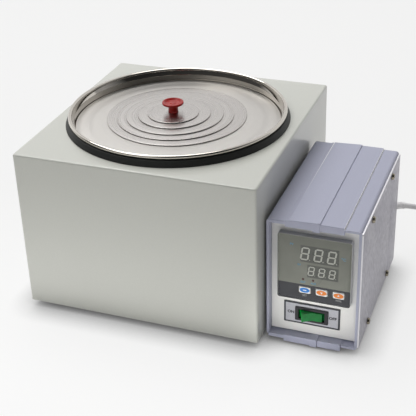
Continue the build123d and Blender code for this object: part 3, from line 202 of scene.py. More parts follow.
# Sprayed enamel on the front and rear panels: white, hardly any grain.
panelEnamel = speckled("panelEnamel", "#F1F0EC", "#EEEDE9", 0.4, 1.5, 0.003)
windowGrey = speckled("displayFilter", "#5F615B", "#5A5C56", 0.3, 3.0)  # smoked filter, darker than the film
ledEpoxy = speckled("unlitRedLedEpoxy", "#553A38", "#4A302E", 0.25, 1.0)  # cast epoxy, dull red when off
digitWhite = speckled("unlitDigitEpoxy", "#C4C5BC", "#BBBCB3", 0.4, 1.0)  # milky bars of an unlit display
inkBlue = speckled("blueInk", "#5C93AD", "#568CA6", 0.4, 2.0)  # screen printed, faint on the olive film
inkPale = speckled("paleInk", "#909190", "#878887", 0.4, 2.0)  # screen printed, faint on the dark band
inkDark = speckled("darkInk", "#35363B", "#2E2F34", 0.4, 2.0)  # screen printed on the label
padWhite = speckled("whiteKeyFilm", "#F8F8F6", "#F2F2F0", 0.36, 3.0)  # printed key film, clean and bright
padBlue = speckled("blueKeyFilm", "#2F86DA", "#2A7ED2", 0.36, 3.0)  # the same film, flooded with strong blue
padOrange = speckled("orangeKeyFilm", "#F08A34", "#EA822C", 0.36, 3.0)  # and with orange
labelGrey = speckled("anodisedLabelPlate", "#C0C0C6", "#B6B6BC", 0.4, 1.4, 0.01)  # matt silver label
labelDark = speckled("labelBorderInk", "#3C3D42", "#37383D", 0.4, 2.0)  # its dark printed border
nylonBlack = speckled("blackNylon", "#232225", "#2A292C", 0.42, 0.8, 0.01)  # moulded, fine dull grain
nylonWhite = speckled("whiteNylon", "#D8D7D0", "#CFCEC7", 0.45, 1.5, 0.01)  # moulded, slightly yellowed
screwNickel = speckled("nickelPlatedSteel", "#A79F8F", "#8A8374", 0.26, 0.8, 0.004, metallic=1.0)  # warm and bright
zincSteel = speckled("zincPlatedSteel", "#B9BCC0", "#A9ACB0", 0.34, 1.2, 0.004, metallic=1.0)  # cool, lightly clouded
tubeSteel = speckled("drawnStainlessTube", "#AFADA9", "#A19F9B", 0.3, 1.0, 0.004, metallic=1.0)  # dulled by heat
brass = speckled("turnedBrass", "#C9A95E", "#BC9B52", 0.28, 0.9, 0.004, metallic=1.0)  # yellow, fresh from the lathe
terminalBrass = speckled("stampedBrass", "#CDB06A", "#C0A25C", 0.32, 1.4, 0.003, metallic=1.0)  # paler, rolled sheet
finAluminium = speckled("extrudedAluminium", "#B5B6BA", "#A7A8AD", 0.38, 1.2, 0.008, metallic=1.0)  # even dull silver
wool = speckled("mineralWool", "#B8A57C", "#9C8A63", 0.9, 1.6, 0.5)  # matted fibres, no shine
boardGreen = speckled("solderMaskBoard", "#1F5B36", "#256740", 0.35, 2.0)  # glossy green lacquer
cordPvc = speckled("greyPvcJacket", "#F6F4F6", "#F0EEF0", 0.42, 2.5, 0.01)  # extruded, off-white and smooth
# Printed acrylic: an even olive film under a clear gloss.
lensAcrylic = speckled(
    "printedAcrylicWindow", "#82847A", "#7B7D73", 0.24, 18.0, spread=0.0, Coat_Weight=0.2, Coat_Roughness=0.08,
)
bezelAbs = speckled("bezelGreyAbs", "#E2E3E0", "#D9DAD7", 0.38, 0.8, spread=0.0)  # moulded ABS, pale at its sides
# Green polycarbonate with the lamp behind it off: dark, with a painted highlight at its raised end.
rockerGreen = speckled(
    "greenPolycarbonate", "#04682A", "#0A7C38", 0.4, 5.0, spread=0.0, Coat_Weight=0.15, Coat_Roughness=0.08, IOR=1.45,
)

# Painted highlights run along both edges of the housing's raised band, the left one only towards the rear.
bandHighlight = {"height": 0.2, "right": 0.45, "left": 0.4, "from": -70.0, "to": 50.0}
tree = housingAbs.node_tree
axes = addNode(tree, "ShaderNodeSeparateXYZ", {"Vector": addNode(tree, "ShaderNodeTexCoord")["Object"]})
highlightAbove = {0: axes["Z"], 1: (box["top"] - bandHighlight["height"]) * mm}
bandHigh = addNode(tree, "ShaderNodeMath", highlightAbove, operation="GREATER_THAN")[0]
highlightEdge = {}
for edge, band in (("right", "bandRight"), ("left", "bandLeft")):
    where = {0: axes["X"], 1: (box["left"] + box[band]) * mm, 2: bandHighlight[edge] * mm}
    highlightEdge[edge] = addNode(tree, "ShaderNodeMath", where, operation="COMPARE")[0]
highlightBehind = {"Value": axes["Y"], "From Min": bandHighlight["from"] * mm, "From Max": bandHighlight["to"] * mm}
rearward = addNode(tree, "ShaderNodeMapRange", highlightBehind)[0]
leftHighlight = addNode(tree, "ShaderNodeMath", {0: highlightEdge["left"], 1: rearward}, operation="MULTIPLY")[0]
bothHighlights = addNode(tree, "ShaderNodeMath", {0: highlightEdge["right"], 1: leftHighlight}, operation="MAXIMUM")[0]
# The pale painted highlight goes over the band's edges.
paintOver(housingAbs, addNode(tree, "ShaderNodeMath", {0: bothHighlights, 1: bandHigh}, operation="MULTIPLY")[0], "#F4F4F6")

# Painted highlights run along the side sheet's front and top edges.
edgeHighlight = {"front": 0.8, "top": 2.7}
atFront, atTop = (box["front"] + edgeHighlight["front"]) * mm, (box["top"] - edgeHighlight["top"]) * mm
tree = sideAluminium.node_tree
axes = addNode(tree, "ShaderNodeSeparateXYZ", {"Vector": addNode(tree, "ShaderNodeTexCoord")["Object"]})
highlightFront = addNode(tree, "ShaderNodeMath", {0: axes["Y"], 1: atFront}, operation="LESS_THAN")[0]
highlightTop = addNode(tree, "ShaderNodeMath", {0: axes["Z"], 1: atTop}, operation="GREATER_THAN")[0]
# The pale painted highlight goes over both edges.
paintOver(sideAluminium, addNode(tree, "ShaderNodeMath", {0: highlightFront, 1: highlightTop}, operation="MAXIMUM")[0], "#E4E3E6")

# The window is printed dark grey round the keys.
tree = lensAcrylic.node_tree
axes = addNode(tree, "ShaderNodeSeparateXYZ", {"Vector": addNode(tree, "ShaderNodeTexCoord")["Object"]})
darkBand = addNode(tree, "ShaderNodeMath", {0: axes["Z"], 1: controller["bandTop"] * mm}, operation="LESS_THAN")[0]
paintOver(lensAcrylic, darkBand, "#323338")

# The bezel's top face carries painted shade, and the window's two colours run on over its front.
bezelShadeAndFilm = {"top": 0.2, "front": 0.12}
bezelShadeLevel = (controller["z"] + controller["side"] / 2 - bezelShadeAndFilm["top"]) * mm
bezelFront = (controller["front"] + bezelShadeAndFilm["front"]) * mm
tree = bezelAbs.node_tree
axes = addNode(tree, "ShaderNodeSeparateXYZ", {"Vector": addNode(tree, "ShaderNodeTexCoord")["Object"]})
shadedTop = addNode(tree, "ShaderNodeMath", {0: axes["Z"], 1: bezelShadeLevel}, operation="GREATER_THAN")[0]
onFront = addNode(tree, "ShaderNodeMath", {0: axes["Y"], 1: bezelFront}, operation="LESS_THAN")[0]
inBand = addNode(tree, "ShaderNodeMath", {0: axes["Z"], 1: controller["bandTop"] * mm}, operation="LESS_THAN")[0]
# Painted shade on the bezel's top face.
paintOver(bezelAbs, shadedTop, "#A2A3A5")
paintOver(bezelAbs, onFront, "#7E8076")
paintOver(bezelAbs, addNode(tree, "ShaderNodeMath", {0: onFront, 1: inBand}, operation="MULTIPLY")[0], "#323338")

# Painted highlight on the rocker's raised end, from so far left of its middle outwards.
litEnd = {"from": 7.0, "to": 11.6}
tree = rockerGreen.node_tree
axes = addNode(tree, "ShaderNodeSeparateXYZ", {"Vector": addNode(tree, "ShaderNodeTexCoord")["Object"]})
litRange = {
    "Value": axes["X"],
    "From Min": (switch["x"] - litEnd["from"]) * mm,
    "From Max": (switch["x"] - litEnd["to"]) * mm,
}
paintOver(rockerGreen, addNode(tree, "ShaderNodeMapRange", litRange)[0], "#14C84C")

print("materials made")


# Ways of making the pieces

def finishPiece(piece, material, body="bath", stands=(), smooth=30.0):
    piece.data.materials.clear()
    piece.data.materials.append(material)
    pick(piece)
    bpy.ops.object.transform_apply(location=True, rotation=True, scale=True)
    if smooth:
        bpy.ops.object.shade_smooth_by_angle(angle=math.radians(smooth))
    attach(piece, body)
    if stands:
        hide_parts(*stands)
    return piece


def dressNode(node, name, material, body="bath", edge=0.3, smooth=35.0):
    # A copy of the frame's piece with its flat faces whole again and its edges broken.
    piece = bpy.data.objects.new(name, nodes[node].data.copy())
    bpy.context.scene.collection.objects.link(piece)
    pick(piece)
    bpy.ops.mesh.customdata_custom_splitnormals_clear()
    bpy.ops.object.mode_set(mode="EDIT")
    bpy.ops.mesh.select_all(action="SELECT")
    bpy.ops.mesh.remove_doubles(threshold=0.00001)
    bpy.ops.mesh.dissolve_limited(angle_limit=math.radians(1.0))
    bpy.ops.object.mode_set(mode="OBJECT")
    if edge:
        bevel = piece.modifiers.new("edge", "BEVEL")
        bevel.width = edge * mm
        bevel.segments = 2
        bevel.limit_method = "ANGLE"
        bevel.angle_limit = math.radians(40)
        bpy.ops.object.modifier_apply(modifier=bevel.name)
    return finishPiece(piece, material, body, (node,), smooth)


def drawProfile(name, points):
    # One point, drawn out step by step in the XZ plane.
    deselectAll()
    bpy.ops.mesh.primitive_plane_add(size=mm, location=(0, 0, 0))
    piece = bpy.context.object
    piece.name = name
    bpy.ops.object.mode_set(mode="EDIT")
    bpy.ops.mesh.select_all(action="SELECT")
    bpy.ops.mesh.merge(type="CENTER")
    bpy.ops.transform.translate(value=(points[0][0] * mm, 0, points[0][1] * mm))
    for before, after in zip(points, points[1:]):
        step = ((after[0] - before[0]) * mm, 0, (after[1] - before[1]) * mm)
        bpy.ops.mesh.extrude_region_move(TRANSFORM_OT_translate={"value": step})
    bpy.ops.mesh.select_all(action="SELECT")
    return piece


def lathe(name, points, centre, material, steps=160, body="bath", stands=(), smooth=40.0):
    # The profile, given as radius and height, spun about an upright axis.
    closed = points[0][0] > 0.01 or points[-1][0] > 0.01
    piece = drawProfile(name, list(points) + ([points[0]] if closed else []))
    bpy.ops.mesh.spin(steps=steps, angle=2 * math.pi, center=(0, 0, 0), axis=(0, 0, 1))
    bpy.ops.mesh.select_all(action="SELECT")
    bpy.ops.mesh.remove_doubles(threshold=0.000005)
    bpy.ops.mesh.delete_loose()
    bpy.ops.mesh.select_all(action="SELECT")
    bpy.ops.mesh.normals_make_consistent(inside=False)
    bpy.ops.transform.translate(value=metres((centre[0], centre[1], 0)))
    bpy.ops.object.mode_set(mode="OBJECT")
    return finishPiece(piece, material, body, stands, smooth)


def arc(centre, radius, start, end, count):
    turns = [math.radians(start + (end - start) * i / count) for i in range(count + 1)]
    return [(centre[0] + radius * math.cos(turn), centre[1] + radius * math.sin(turn)) for turn in turns]


def rounded(corners):
    # Each corner is (radius, height, bend), and a bend becomes a short arc.
    path = []
    for i, (across, up, bend) in enumerate(corners):
        here = Vector((across, up))
        if not bend or i in (0, len(corners) - 1):
            path.append(here)
            continue
        toBefore = (Vector(corners[i - 1][:2]) - here).normalized()
        toAfter = (Vector(corners[i + 1][:2]) - here).normalized()
        half = toBefore.angle(toAfter) / 2
        first, last = here + toBefore * bend / math.tan(half), here + toAfter * bend / math.tan(half)
        centre = here + (toBefore + toAfter).normalized() * bend / math.sin(half)
        for step in range(7):
            path.append(centre + (first - centre).lerp(last - centre, step / 6).normalized() * bend)
    return path


def sheetOutline(path, sheet):
    # Both faces of a sheet whose middle follows the path.
    faces = ([], [])
    for i, here in enumerate(path):
        run = (path[min(i + 1, len(path) - 1)] - path[max(i - 1, 0)]).normalized()
        across = Vector((-run.y, run.x)) * sheet / 2
        faces[0].append(here + across)
        faces[1].append(here - across)
    outline = faces[0] + faces[1][::-1]
    return [(max(point.x, 0.0), point.y) for point in outline]


def block(name, centre, size, edge=0.0):
    deselectAll()
    bpy.ops.mesh.primitive_cube_add(size=1, location=metres(centre))
    piece = bpy.context.object
    piece.name = name
    piece.scale = metres(size)
    bpy.ops.object.transform_apply(location=True, rotation=True, scale=True)
    if edge:
        bpy.ops.object.mode_set(mode="EDIT")
        bpy.ops.mesh.select_all(action="SELECT")
        bpy.ops.mesh.bevel(offset=edge * mm, segments=2, affect="EDGES")
        bpy.ops.object.mode_set(mode="OBJECT")
    return piece


def join(name, parts):
    deselectAll()
    for part in parts:
        part.select_set(True)
    bpy.context.view_layer.objects.active = parts[0]
    bpy.ops.object.join()
    parts[0].name = name
    return parts[0]


def words(name, text, size, where, material, weight=0.1, thickness=0.04):
    # Plain generic lettering, a shade proud of the face that it is printed on.
    deselectAll()
    bpy.ops.object.text_add(location=metres(where), rotation=(math.pi / 2, 0, 0))
    piece = bpy.context.object
    piece.name = name
    piece.data.body = text
    piece.data.size = size * mm
    piece.data.align_x = "CENTER"
    piece.data.align_y = "CENTER"
    piece.data.extrude = thickness * mm
    piece.data.offset = weight * mm
    piece.data.resolution_u = 3
    bpy.ops.object.convert(target="MESH")
    return finishPiece(bpy.context.object, material, smooth=0)


# Camera
camera = {
    "place": (325.3, -887.5, 609.5), "ahead": (-0.3175, 0.8162, -0.4826), "side": (0.9376, 0.3464, -0.0310),
    "lens": 87.76, "shiftY": -0.0192,
}
bpy.ops.object.camera_add(location=metres(camera["place"]))
eye = bpy.context.object
side = Vector(camera["side"]).normalized()
back = (-Vector(camera["ahead"])).normalized()
upward = back.cross(side).normalized()
side = upward.cross(back)
eye.rotation_mode = "QUATERNION"
eye.rotation_quaternion = Matrix((side, upward, back)).transposed().to_quaternion()
eye.data.lens = camera["lens"]
eye.data.sensor_width = 36
eye.data.shift_y = camera["shiftY"]
eye.data.clip_start, eye.data.clip_end = 0.01, 20
bpy.context.scene.camera = eye

# Cord: the free stretch and the coil as one line, from the boot to the plug
cord = {
    "exit": (174.94, 97.63, 57.77), "radius": 3.0, "length": 1.386, "diameter": 0.006,
    "route": [
        (193.36, 111.40, 50.88), (210, 125, 38), (226, 136.5, 23),
        (243, 144, 10.5), (258, 146.5, 3.8), (275, 146.5, 3.8),
    ],
    "coilCentre": (281.0, 104.5), "outer": 42.0, "inner": 22.5, "climb": 20.9, "pitch": 6.5, "low": 3.8, "high": 10.3,
    "turnsIn": 3, "quartersOut": 11, "leadOut": 30.0, "perTurn": 16,
}


def coilPoint(quarter):
    # In along the floor, up over the inner turn, and out again on top.
    last = 4 * cord["turnsIn"]
    if quarter <= last:
        radius, height = cord["outer"] - cord["pitch"] * quarter / 4, cord["low"]
    elif quarter < last + 2:
        share = (quarter - last) / 2
        radius = cord["inner"] - (cord["inner"] - cord["climb"]) * math.sin(math.pi * share)
        height = cord["low"] + (cord["high"] - cord["low"]) * (share - math.sin(2 * math.pi * share) / (2 * math.pi))
    else:
        radius, height = cord["inner"] + cord["pitch"] * (quarter - last - 2) / 4, cord["high"]
    # A curve's control points lie a little outside the arc that they make.
    radius /= math.cos(math.pi / cord["perTurn"])
    angle = math.radians(90 - 90 * quarter)
    x, y = cord["coilCentre"]
    return (x + radius * math.cos(angle), y + radius * math.sin(angle), height)


quartersAll = 4 * cord["turnsIn"] + 2 + cord["quartersOut"]
coilCount = round(quartersAll * cord["perTurn"] / 4)
coilLine = [coilPoint(quartersAll * i / coilCount) for i in range(coilCount + 1)]
endX = cord["coilCentre"][0] + cord["inner"] + cord["pitch"] * cord["quartersOut"] / 4
leadOut = [(endX, cord["coilCentre"][1] - cord["leadOut"] * share, cord["high"]) for share in (0.5, 1)]
line = [cord["exit"]] + cord["route"] + coilLine + leadOut
cordCurve = bpy.data.curves.new("mainsCord", "CURVE")
cordCurve.dimensions = "3D"
cordCurve.bevel_depth = cord["radius"] * mm
cordCurve.bevel_resolution = 5
cordCurve.resolution_u = 6
cordCurve.use_fill_caps = True
spline = cordCurve.splines.new("NURBS")
spline.points.add(len(line) - 1)
for point, where in zip(spline.points, line):
    point.co = metres(where) + (1.0,)
spline.order_u = 3
spline.use_endpoint_u = True
mainsCord = bpy.data.objects.new("mainsCord", cordCurve)
bpy.context.scene.collection.objects.link(mainsCord)
cordCurve.materials.append(cordPvc)
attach(mainsCord, "bath")
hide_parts("power_cord", "cord_coil")

# Boot, tie and plug on the cord
boot = {
    "root": (158.3, 63.5, 64.0), "bend": 41.67, "fall": 20.5, "turn": 55.0, "rootRadius": 7.0, "tipRadius": 4.4,
    "slim": 0.75, "ribs": 10, "firstRib": 0.12, "lastRib": 0.94, "ribProud": 0.35, "ribWidth": 1.8, "ribRound": 0.45,
}
downfall = Vector((math.cos(math.radians(boot["fall"])), 0, -math.sin(math.radians(boot["fall"]))))


def bootMiddle(turn):
    # The boot's middle line, after it has turned so far from straight back.
    aside, along = boot["bend"] * (1 - math.cos(turn)), boot["bend"] * math.sin(turn)
    return Vector(boot["root"]) + downfall * aside + Vector((0, along, 0))


bootParts = [dressNode("strain_relief", "cordBoot", cordPvc, edge=0)]
for corner in bootParts[0].data.vertices:
    # Drawn in towards its middle line. Behind the panel it keeps its size.
    away = corner.co / mm - Vector(boot["root"])
    turn = math.atan2(away.y, boot["bend"] - away.dot(downfall))
    if turn > 0:
        middle = bootMiddle(turn)
        corner.co = (middle + (corner.co / mm - middle) * boot["slim"]) * mm
for rib in range(boot["ribs"]):
    share = boot["firstRib"] + (boot["lastRib"] - boot["firstRib"]) * rib / (boot["ribs"] - 1)
    turn = math.radians(boot["turn"] * share)
    heading = downfall * math.sin(turn) + Vector((0, math.cos(turn), 0))
    radius = (boot["rootRadius"] + (boot["tipRadius"] - boot["rootRadius"]) * share) * boot["slim"] + boot["ribProud"]
    deselectAll()
    bpy.ops.mesh.primitive_cylinder_add(
        vertices=40, radius=radius * mm, depth=boot["ribWidth"] * mm, location=metres(bootMiddle(turn)),
        rotation=heading.to_track_quat("Z", "Y").to_euler(),
    )
    ribPiece = bpy.context.object
    bpy.ops.object.mode_set(mode="EDIT")
    bpy.ops.mesh.select_all(action="SELECT")
    bpy.ops.mesh.bevel(offset=boot["ribRound"] * mm, segments=3, affect="EDGES")
    bpy.ops.object.mode_set(mode="OBJECT")
    bpy.ops.object.transform_apply(location=True, rotation=True, scale=True)
    bootParts.append(ribPiece)
cordBoot = finishPiece(join("cordBoot", bootParts), cordPvc)
cordTie = dressNode("cord_tie", "cordTie", nylonBlack, edge=0.15)
plugBody = dressNode("plug_body", "plugBody", cordPvc, edge=0.4)
plugPins = dressNode("plug_pins", "plugPins", terminalBrass, edge=0.2)
print("cord laid")

# Casing
dressNode("outer_casing", "outerCasing", enamel, edge=0)
dressNode("feet", "rubberFeet", footRubber, edge=0.5)
print("casing dressed")

# Pot, with its rim rolled outwards, and the black ring that it sits in. Heights count from the casing's top.
potWall = {
    "sheet": 0.9, "beadCentre": (111.2, 8.95), "beadRadius": 1.55, "curlFrom": -130, "curlTo": 180, "curlSteps": 24,
}
bead = arc(
    potWall["beadCentre"], potWall["beadRadius"], potWall["curlFrom"], potWall["curlTo"], potWall["curlSteps"],
)
curl = [Vector(point) for point in bead]
potPath = curl + rounded([
    (109.6, 8.3, 0), (107.45, 4.2, 1.6), (107.45, -4.15, 1.4), (101.45, -4.15, 1.4), (101.45, -127.55, 14.0),
    (0.0, -127.55, 0),
])
potOutline = [(r, z + pot["top"]) for r, z in sheetOutline(potPath, potWall["sheet"])]
lathe("bathPot", potOutline, (pot["x"], pot["y"]), potSteel, steps=pot["steps"], stands=("pot",))
gasketPath = rounded([
    (112.0, 0, 0), (116.4, 0, 0.4), (113.6, 6.4, 1.0), (110.7, 6.4, 0.3), (110.7, 3.6, 0), (108.2, 1.1, 0),
    (108.2, -3, 0), (108.9, -3, 0), (108.9, 0, 0),
])
gasketOutline = [(r, z + pot["top"]) for r, z in gasketPath]
lathe("rimGasket", gasketOutline, (pot["x"], pot["y"]), gasketRubber, steps=pot["steps"], stands=("rim_gasket",))

# Cover: a plate with a folded edge that stands on the pot's seat, four nested rings and a disc in the middle
plate = {"hole": 65.4, "outer": 106.3, "top": 176.5, "bottom": 175.3, "seat": 174.33, "fold": 1.2, "lipDown": 1.0}
lipBottom = plate["bottom"] - plate["lipDown"]
lipOutside, foldInside = plate["hole"] + plate["fold"], plate["outer"] - plate["fold"]
plateOutline = rounded([
    (lipOutside, lipBottom, 0), (plate["hole"], lipBottom, 0.2), (plate["hole"], plate["top"], 0.5),
    (plate["outer"], plate["top"], 0.4), (plate["outer"], plate["seat"], 0.3), (foldInside, plate["seat"], 0.3),
    (foldInside, plate["bottom"], 0.1), (lipOutside, plate["bottom"], 0),
])
lathe("coverPlate", plateOutline, (pot["x"], pot["y"]), plateSteel, body="cover_plate_body", stands=("cover_plate",))


def ringCentre(count):
    return (rings["x"] + rings["play"][count][0], rings["y"] + rings["play"][count][1])


def ringEdge(count, low):
    # From the collar's inside round its foot, out to the undercut edge and up to the top.
    outer, lip, foot = rings["radii"][count], rings["lips"][count], low - rings["collar"]
    cutIn, cutUp = rings["undercut"]
    return [
        (lip - rings["collarWall"], foot, 0), (lip, foot, 0.2), (lip, low, 0), (outer - cutIn, low, 0),
        (outer, low + cutUp, 0.1), (outer, low + rings["sheet"], 0.35),
    ]


for count, node in enumerate(("cover_ring_4", "cover_ring_3", "cover_ring_2", "cover_ring_1")):
    low = rings["bottom"] + count * rings["sheet"]
    hole, collarInside = rings["radii"][count + 1] - rings["overlap"], rings["lips"][count] - rings["collarWall"]
    inside = [(hole, low + rings["sheet"], 0.35), (hole, low, 0.2), (collarInside, low, 0)]
    ringOutline = rounded(ringEdge(count, low) + inside)
    lathe("coverRing" + node[-1], ringOutline, ringCentre(count), coverSteel, body=node + "_body", stands=(node,))
disc = {"flat": 21.5, "seat": 7.0, "bore": 2.2, "rise": 0.5}
discCentre = ringCentre(4)
discLow = rings["bottom"] + 4 * rings["sheet"]
discTop = discLow + rings["sheet"]
seatTop, seatLow = discTop + disc["rise"], discLow + disc["rise"]
discOutline = rounded(ringEdge(4, discLow) + [
    (disc["flat"], discTop, 2.0), (disc["seat"], seatTop, 2.0), (disc["bore"], seatTop, 0.2),
    (disc["bore"], seatLow, 0), (disc["seat"], seatLow, 0), (rings["lips"][4] - rings["collarWall"], discLow, 0),
])
lathe("centreDisc", discOutline, discCentre, coverSteel, body="centre_disc_body", stands=("centre_disc",))

# Knob: a turned stem that flares into a dished cap, and its screw under the disc, on the same axis
knob = {"height": 11.6, "cap": 11.2, "stem": 5.1, "foot": 5.3, "steps": 96}
screw = {"x": -53.7, "y": 2.0, "rise": 0.68}
knobPath = rounded([
    (0, 0, 0), (knob["foot"], 0, 0.3), (knob["foot"], 1.0, 0.4), (knob["stem"], 1.9, 0.8), (knob["stem"], 8.0, 3.4),
    (knob["cap"], 9.3, 0.6), (knob["cap"], knob["height"], 0.9), (9.4, knob["height"], 0.8), (7.6, 9.9, 0.8),
    (3.4, 9.7, 0.6), (2.8, 10.2, 0.4), (0, 10.2, 0),
])
knobOutline = [(r, z + seatTop) for r, z in knobPath]
lathe("coverKnob", knobOutline, discCentre, knobResin, knob["steps"], "centre_disc_body", ("knob",))
knobScrew = dressNode("knob_screw", "knobScrew", screwNickel, "centre_disc_body", edge=0)
for corner in knobScrew.data.vertices:
    corner.co += Vector(metres((discCentre[0] - screw["x"], discCentre[1] - screw["y"], screw["rise"])))
print("pot and cover turned")

# Control box. Lips of the mould: each is (from, to, highest, lowest), from the box's left and top or bottom.
lips = {
    "top": [(2.4, 18.0, -0.5, -3.9), (17.8, 44.6, 0.9, -6.0), (44.3, 51.2, 1.8, -7.4), (51.8, 74.5, 1.1, -5.8)],
    "foot": [(2.4, 18.0, 3.3, -0.2), (17.8, 44.6, 4.2, -3.0), (44.3, 51.2, 4.2, -4.0), (51.8, 74.5, 4.2, -3.0)],
    "topProud": 0.3, "topDepth": 2.2, "footProud": 2.2, "footDepth": 4.2,
}
lipParts = [dressNode("control_housing", "boxHousing", housingAbs, edge=0.3, smooth=14)]
for edgeName, level in (("top", box["top"]), ("foot", box["bottom"])):
    depth = lips[edgeName + "Depth"]
    y = box["front"] - lips[edgeName + "Proud"] + depth / 2
    for start, end, high, low in lips[edgeName]:
        centre = (box["left"] + (start + end) / 2, y, level + (high + low) / 2)
        lipParts.append(block("lip", centre, (end - start, depth, high - low), edge=0.3))
finishPiece(join("boxHousing", lipParts), housingAbs, smooth=14)
dressNode("side_plate", "boxSide", sideAluminium, edge=0.3)
dressNode("front_panel", "boxFront", panelEnamel, edge=0.2)
dressNode("rear_panel", "boxRear", panelEnamel, edge=0.2)

# Side screws, with the two crossed slots that a cross-head driver needs
recess = {"length": 4.2, "width": 0.9, "depth": 1.2, "along": (-67.5, 23.5), "heights": (14.5, 130.5)}
sideScrews = dressNode("side_plate_screws", "boxSideScrews", screwNickel, edge=0.35)
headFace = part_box("side_plate_screws")[1].x / mm
for across, up in ((recess["length"], recess["width"]), (recess["width"], recess["length"])):
    bladeSize = (2 * recess["depth"], across, up)
    blades = [block("blade", (headFace, y, z), bladeSize) for y in recess["along"] for z in recess["heights"]]
    cutter = join("cutter", blades)
    cut = sideScrews.modifiers.new("recess", "BOOLEAN")
    cut.operation = "DIFFERENCE"
    cut.object = cutter
    pick(sideScrews)
    bpy.ops.object.modifier_apply(modifier=cut.name)
    bpy.data.objects.remove(cutter)
finishPiece(sideScrews, screwNickel)
print("box dressed")

# Controller: bezel, printed window, displays and keys
dressNode("controller_case", "controllerBezel", bezelAbs, edge=0.35)
dressNode("controller_lens", "controllerWindow", lensAcrylic, edge=0.12)
face = controller["lensFront"]
film = {"pane": 0.06, "digit": 0.14, "lamp": 0.16}  # how thick each is, half of it proud of the window
panes = {"upper": (5.2, 17.0, 37.0, 18.0), "lower": (8.6, -1.6, 30.0, 14.0)}
for level, (across, up, width, height) in panes.items():
    where = (controller["x"] + across, face, controller["z"] + up)
    finishPiece(block(level + "Pane", where, (width, film["pane"], height)), windowGrey, smooth=0)

digits = {
    "upper": {"centres": (-8.9, 4.0, 16.9), "up": 17.0, "width": 8.2, "height": 14.2, "bar": 1.5},
    "lower": {"centres": (-2.6, 7.5, 17.6), "up": -1.4, "width": 6.2, "height": 10.2, "bar": 1.15},
    "lean": 8.0, "gap": 0.3, "tip": 0.48, "dotAway": 0.9, "dot": 0.8,  # the last three count in bar widths
}


def segment(across, up, length, bar, lying):
    # One bar of a digit, its ends cut to points.
    size = (length, film["digit"], bar) if lying else (bar, film["digit"], length)
    piece = block("segment", (controller["x"] + across, face, controller["z"] + up), size)
    bpy.ops.object.mode_set(mode="EDIT")
    bpy.ops.mesh.select_all(action="DESELECT")
    bpy.ops.mesh.select_mode(type="EDGE")
    bpy.ops.object.mode_set(mode="OBJECT")
    corners = piece.data.vertices
    for edge in piece.data.edges:
        run = corners[edge.vertices[1]].co - corners[edge.vertices[0]].co
        edge.select = abs(run.y) > 0.9 * run.length
    bpy.ops.object.mode_set(mode="EDIT")
    bpy.ops.mesh.bevel(offset=bar * digits["tip"] * mm, segments=1, affect="EDGES")
    bpy.ops.mesh.select_mode(type="VERT")
    bpy.ops.object.mode_set(mode="OBJECT")
    return piece


for level in ("upper", "lower"):
    kind = digits[level]
    bar, rise = kind["bar"], (kind["height"] - kind["bar"]) / 2
    lying, upright = kind["width"] - bar - digits["gap"], rise - digits["gap"]
    bars = []
    for across in kind["centres"]:
        for step in (-1, 0, 1):
            bars.append(segment(across, kind["up"] + step * rise, lying, bar, True))
        for way in (-1, 1):
            for step in (-0.5, 0.5):
                barX = across + way * (kind["width"] - bar) / 2
                bars.append(segment(barX, kind["up"] + step * rise, upright, bar, False))
        dotX, dotWide = across + kind["width"] / 2 + bar * digits["dotAway"], bar * digits["dot"]
        bars.append(segment(dotX, kind["up"] - rise, dotWide, dotWide, True))
    figures = join(level + "Figures", bars)
    for corner in figures.data.vertices:
        corner.co.x += math.tan(math.radians(digits["lean"])) * (corner.co.z - (controller["z"] + kind["up"]) * mm)
    finishPiece(figures, digitWhite, smooth=0)

lampDots = {"across": (-10.4, -0.6), "up": -11.5, "radius": 1.15}
for count, across in enumerate(lampDots["across"]):
    deselectAll()
    bpy.ops.mesh.primitive_cylinder_add(
        vertices=24, radius=lampDots["radius"] * mm, depth=film["lamp"] * mm, rotation=(math.pi / 2, 0, 0),
        location=metres((controller["x"] + across, face, controller["z"] + lampDots["up"])),
    )
    lampDot = bpy.context.object
    lampDot.name = "lampDot" + str(count)
    finishPiece(lampDot, ledEpoxy, smooth=0)

# Each mark is (text, size, across, up, ink), from the controller's centre.
marks = [
    ("PV", 3.0, -22.0, 25.4, inkBlue), ("SV", 3.0, -14.5, 4.0, inkBlue), ("°C", 4.2, 28.0, 17.0, inkBlue),
    ("OUT", 2.5, -10.6, -15.0, inkBlue), ("ALM", 2.5, -0.4, -15.0, inkBlue),
    ("SET", 2.8, -8.6, -29.8, inkPale), ("TIME", 2.8, 24.4, -29.6, inkPale),
]
for count, (text, size, across, up, ink) in enumerate(marks):
    words("windowMark" + str(count), text, size, (controller["x"] + across, face, controller["z"] + up), ink)

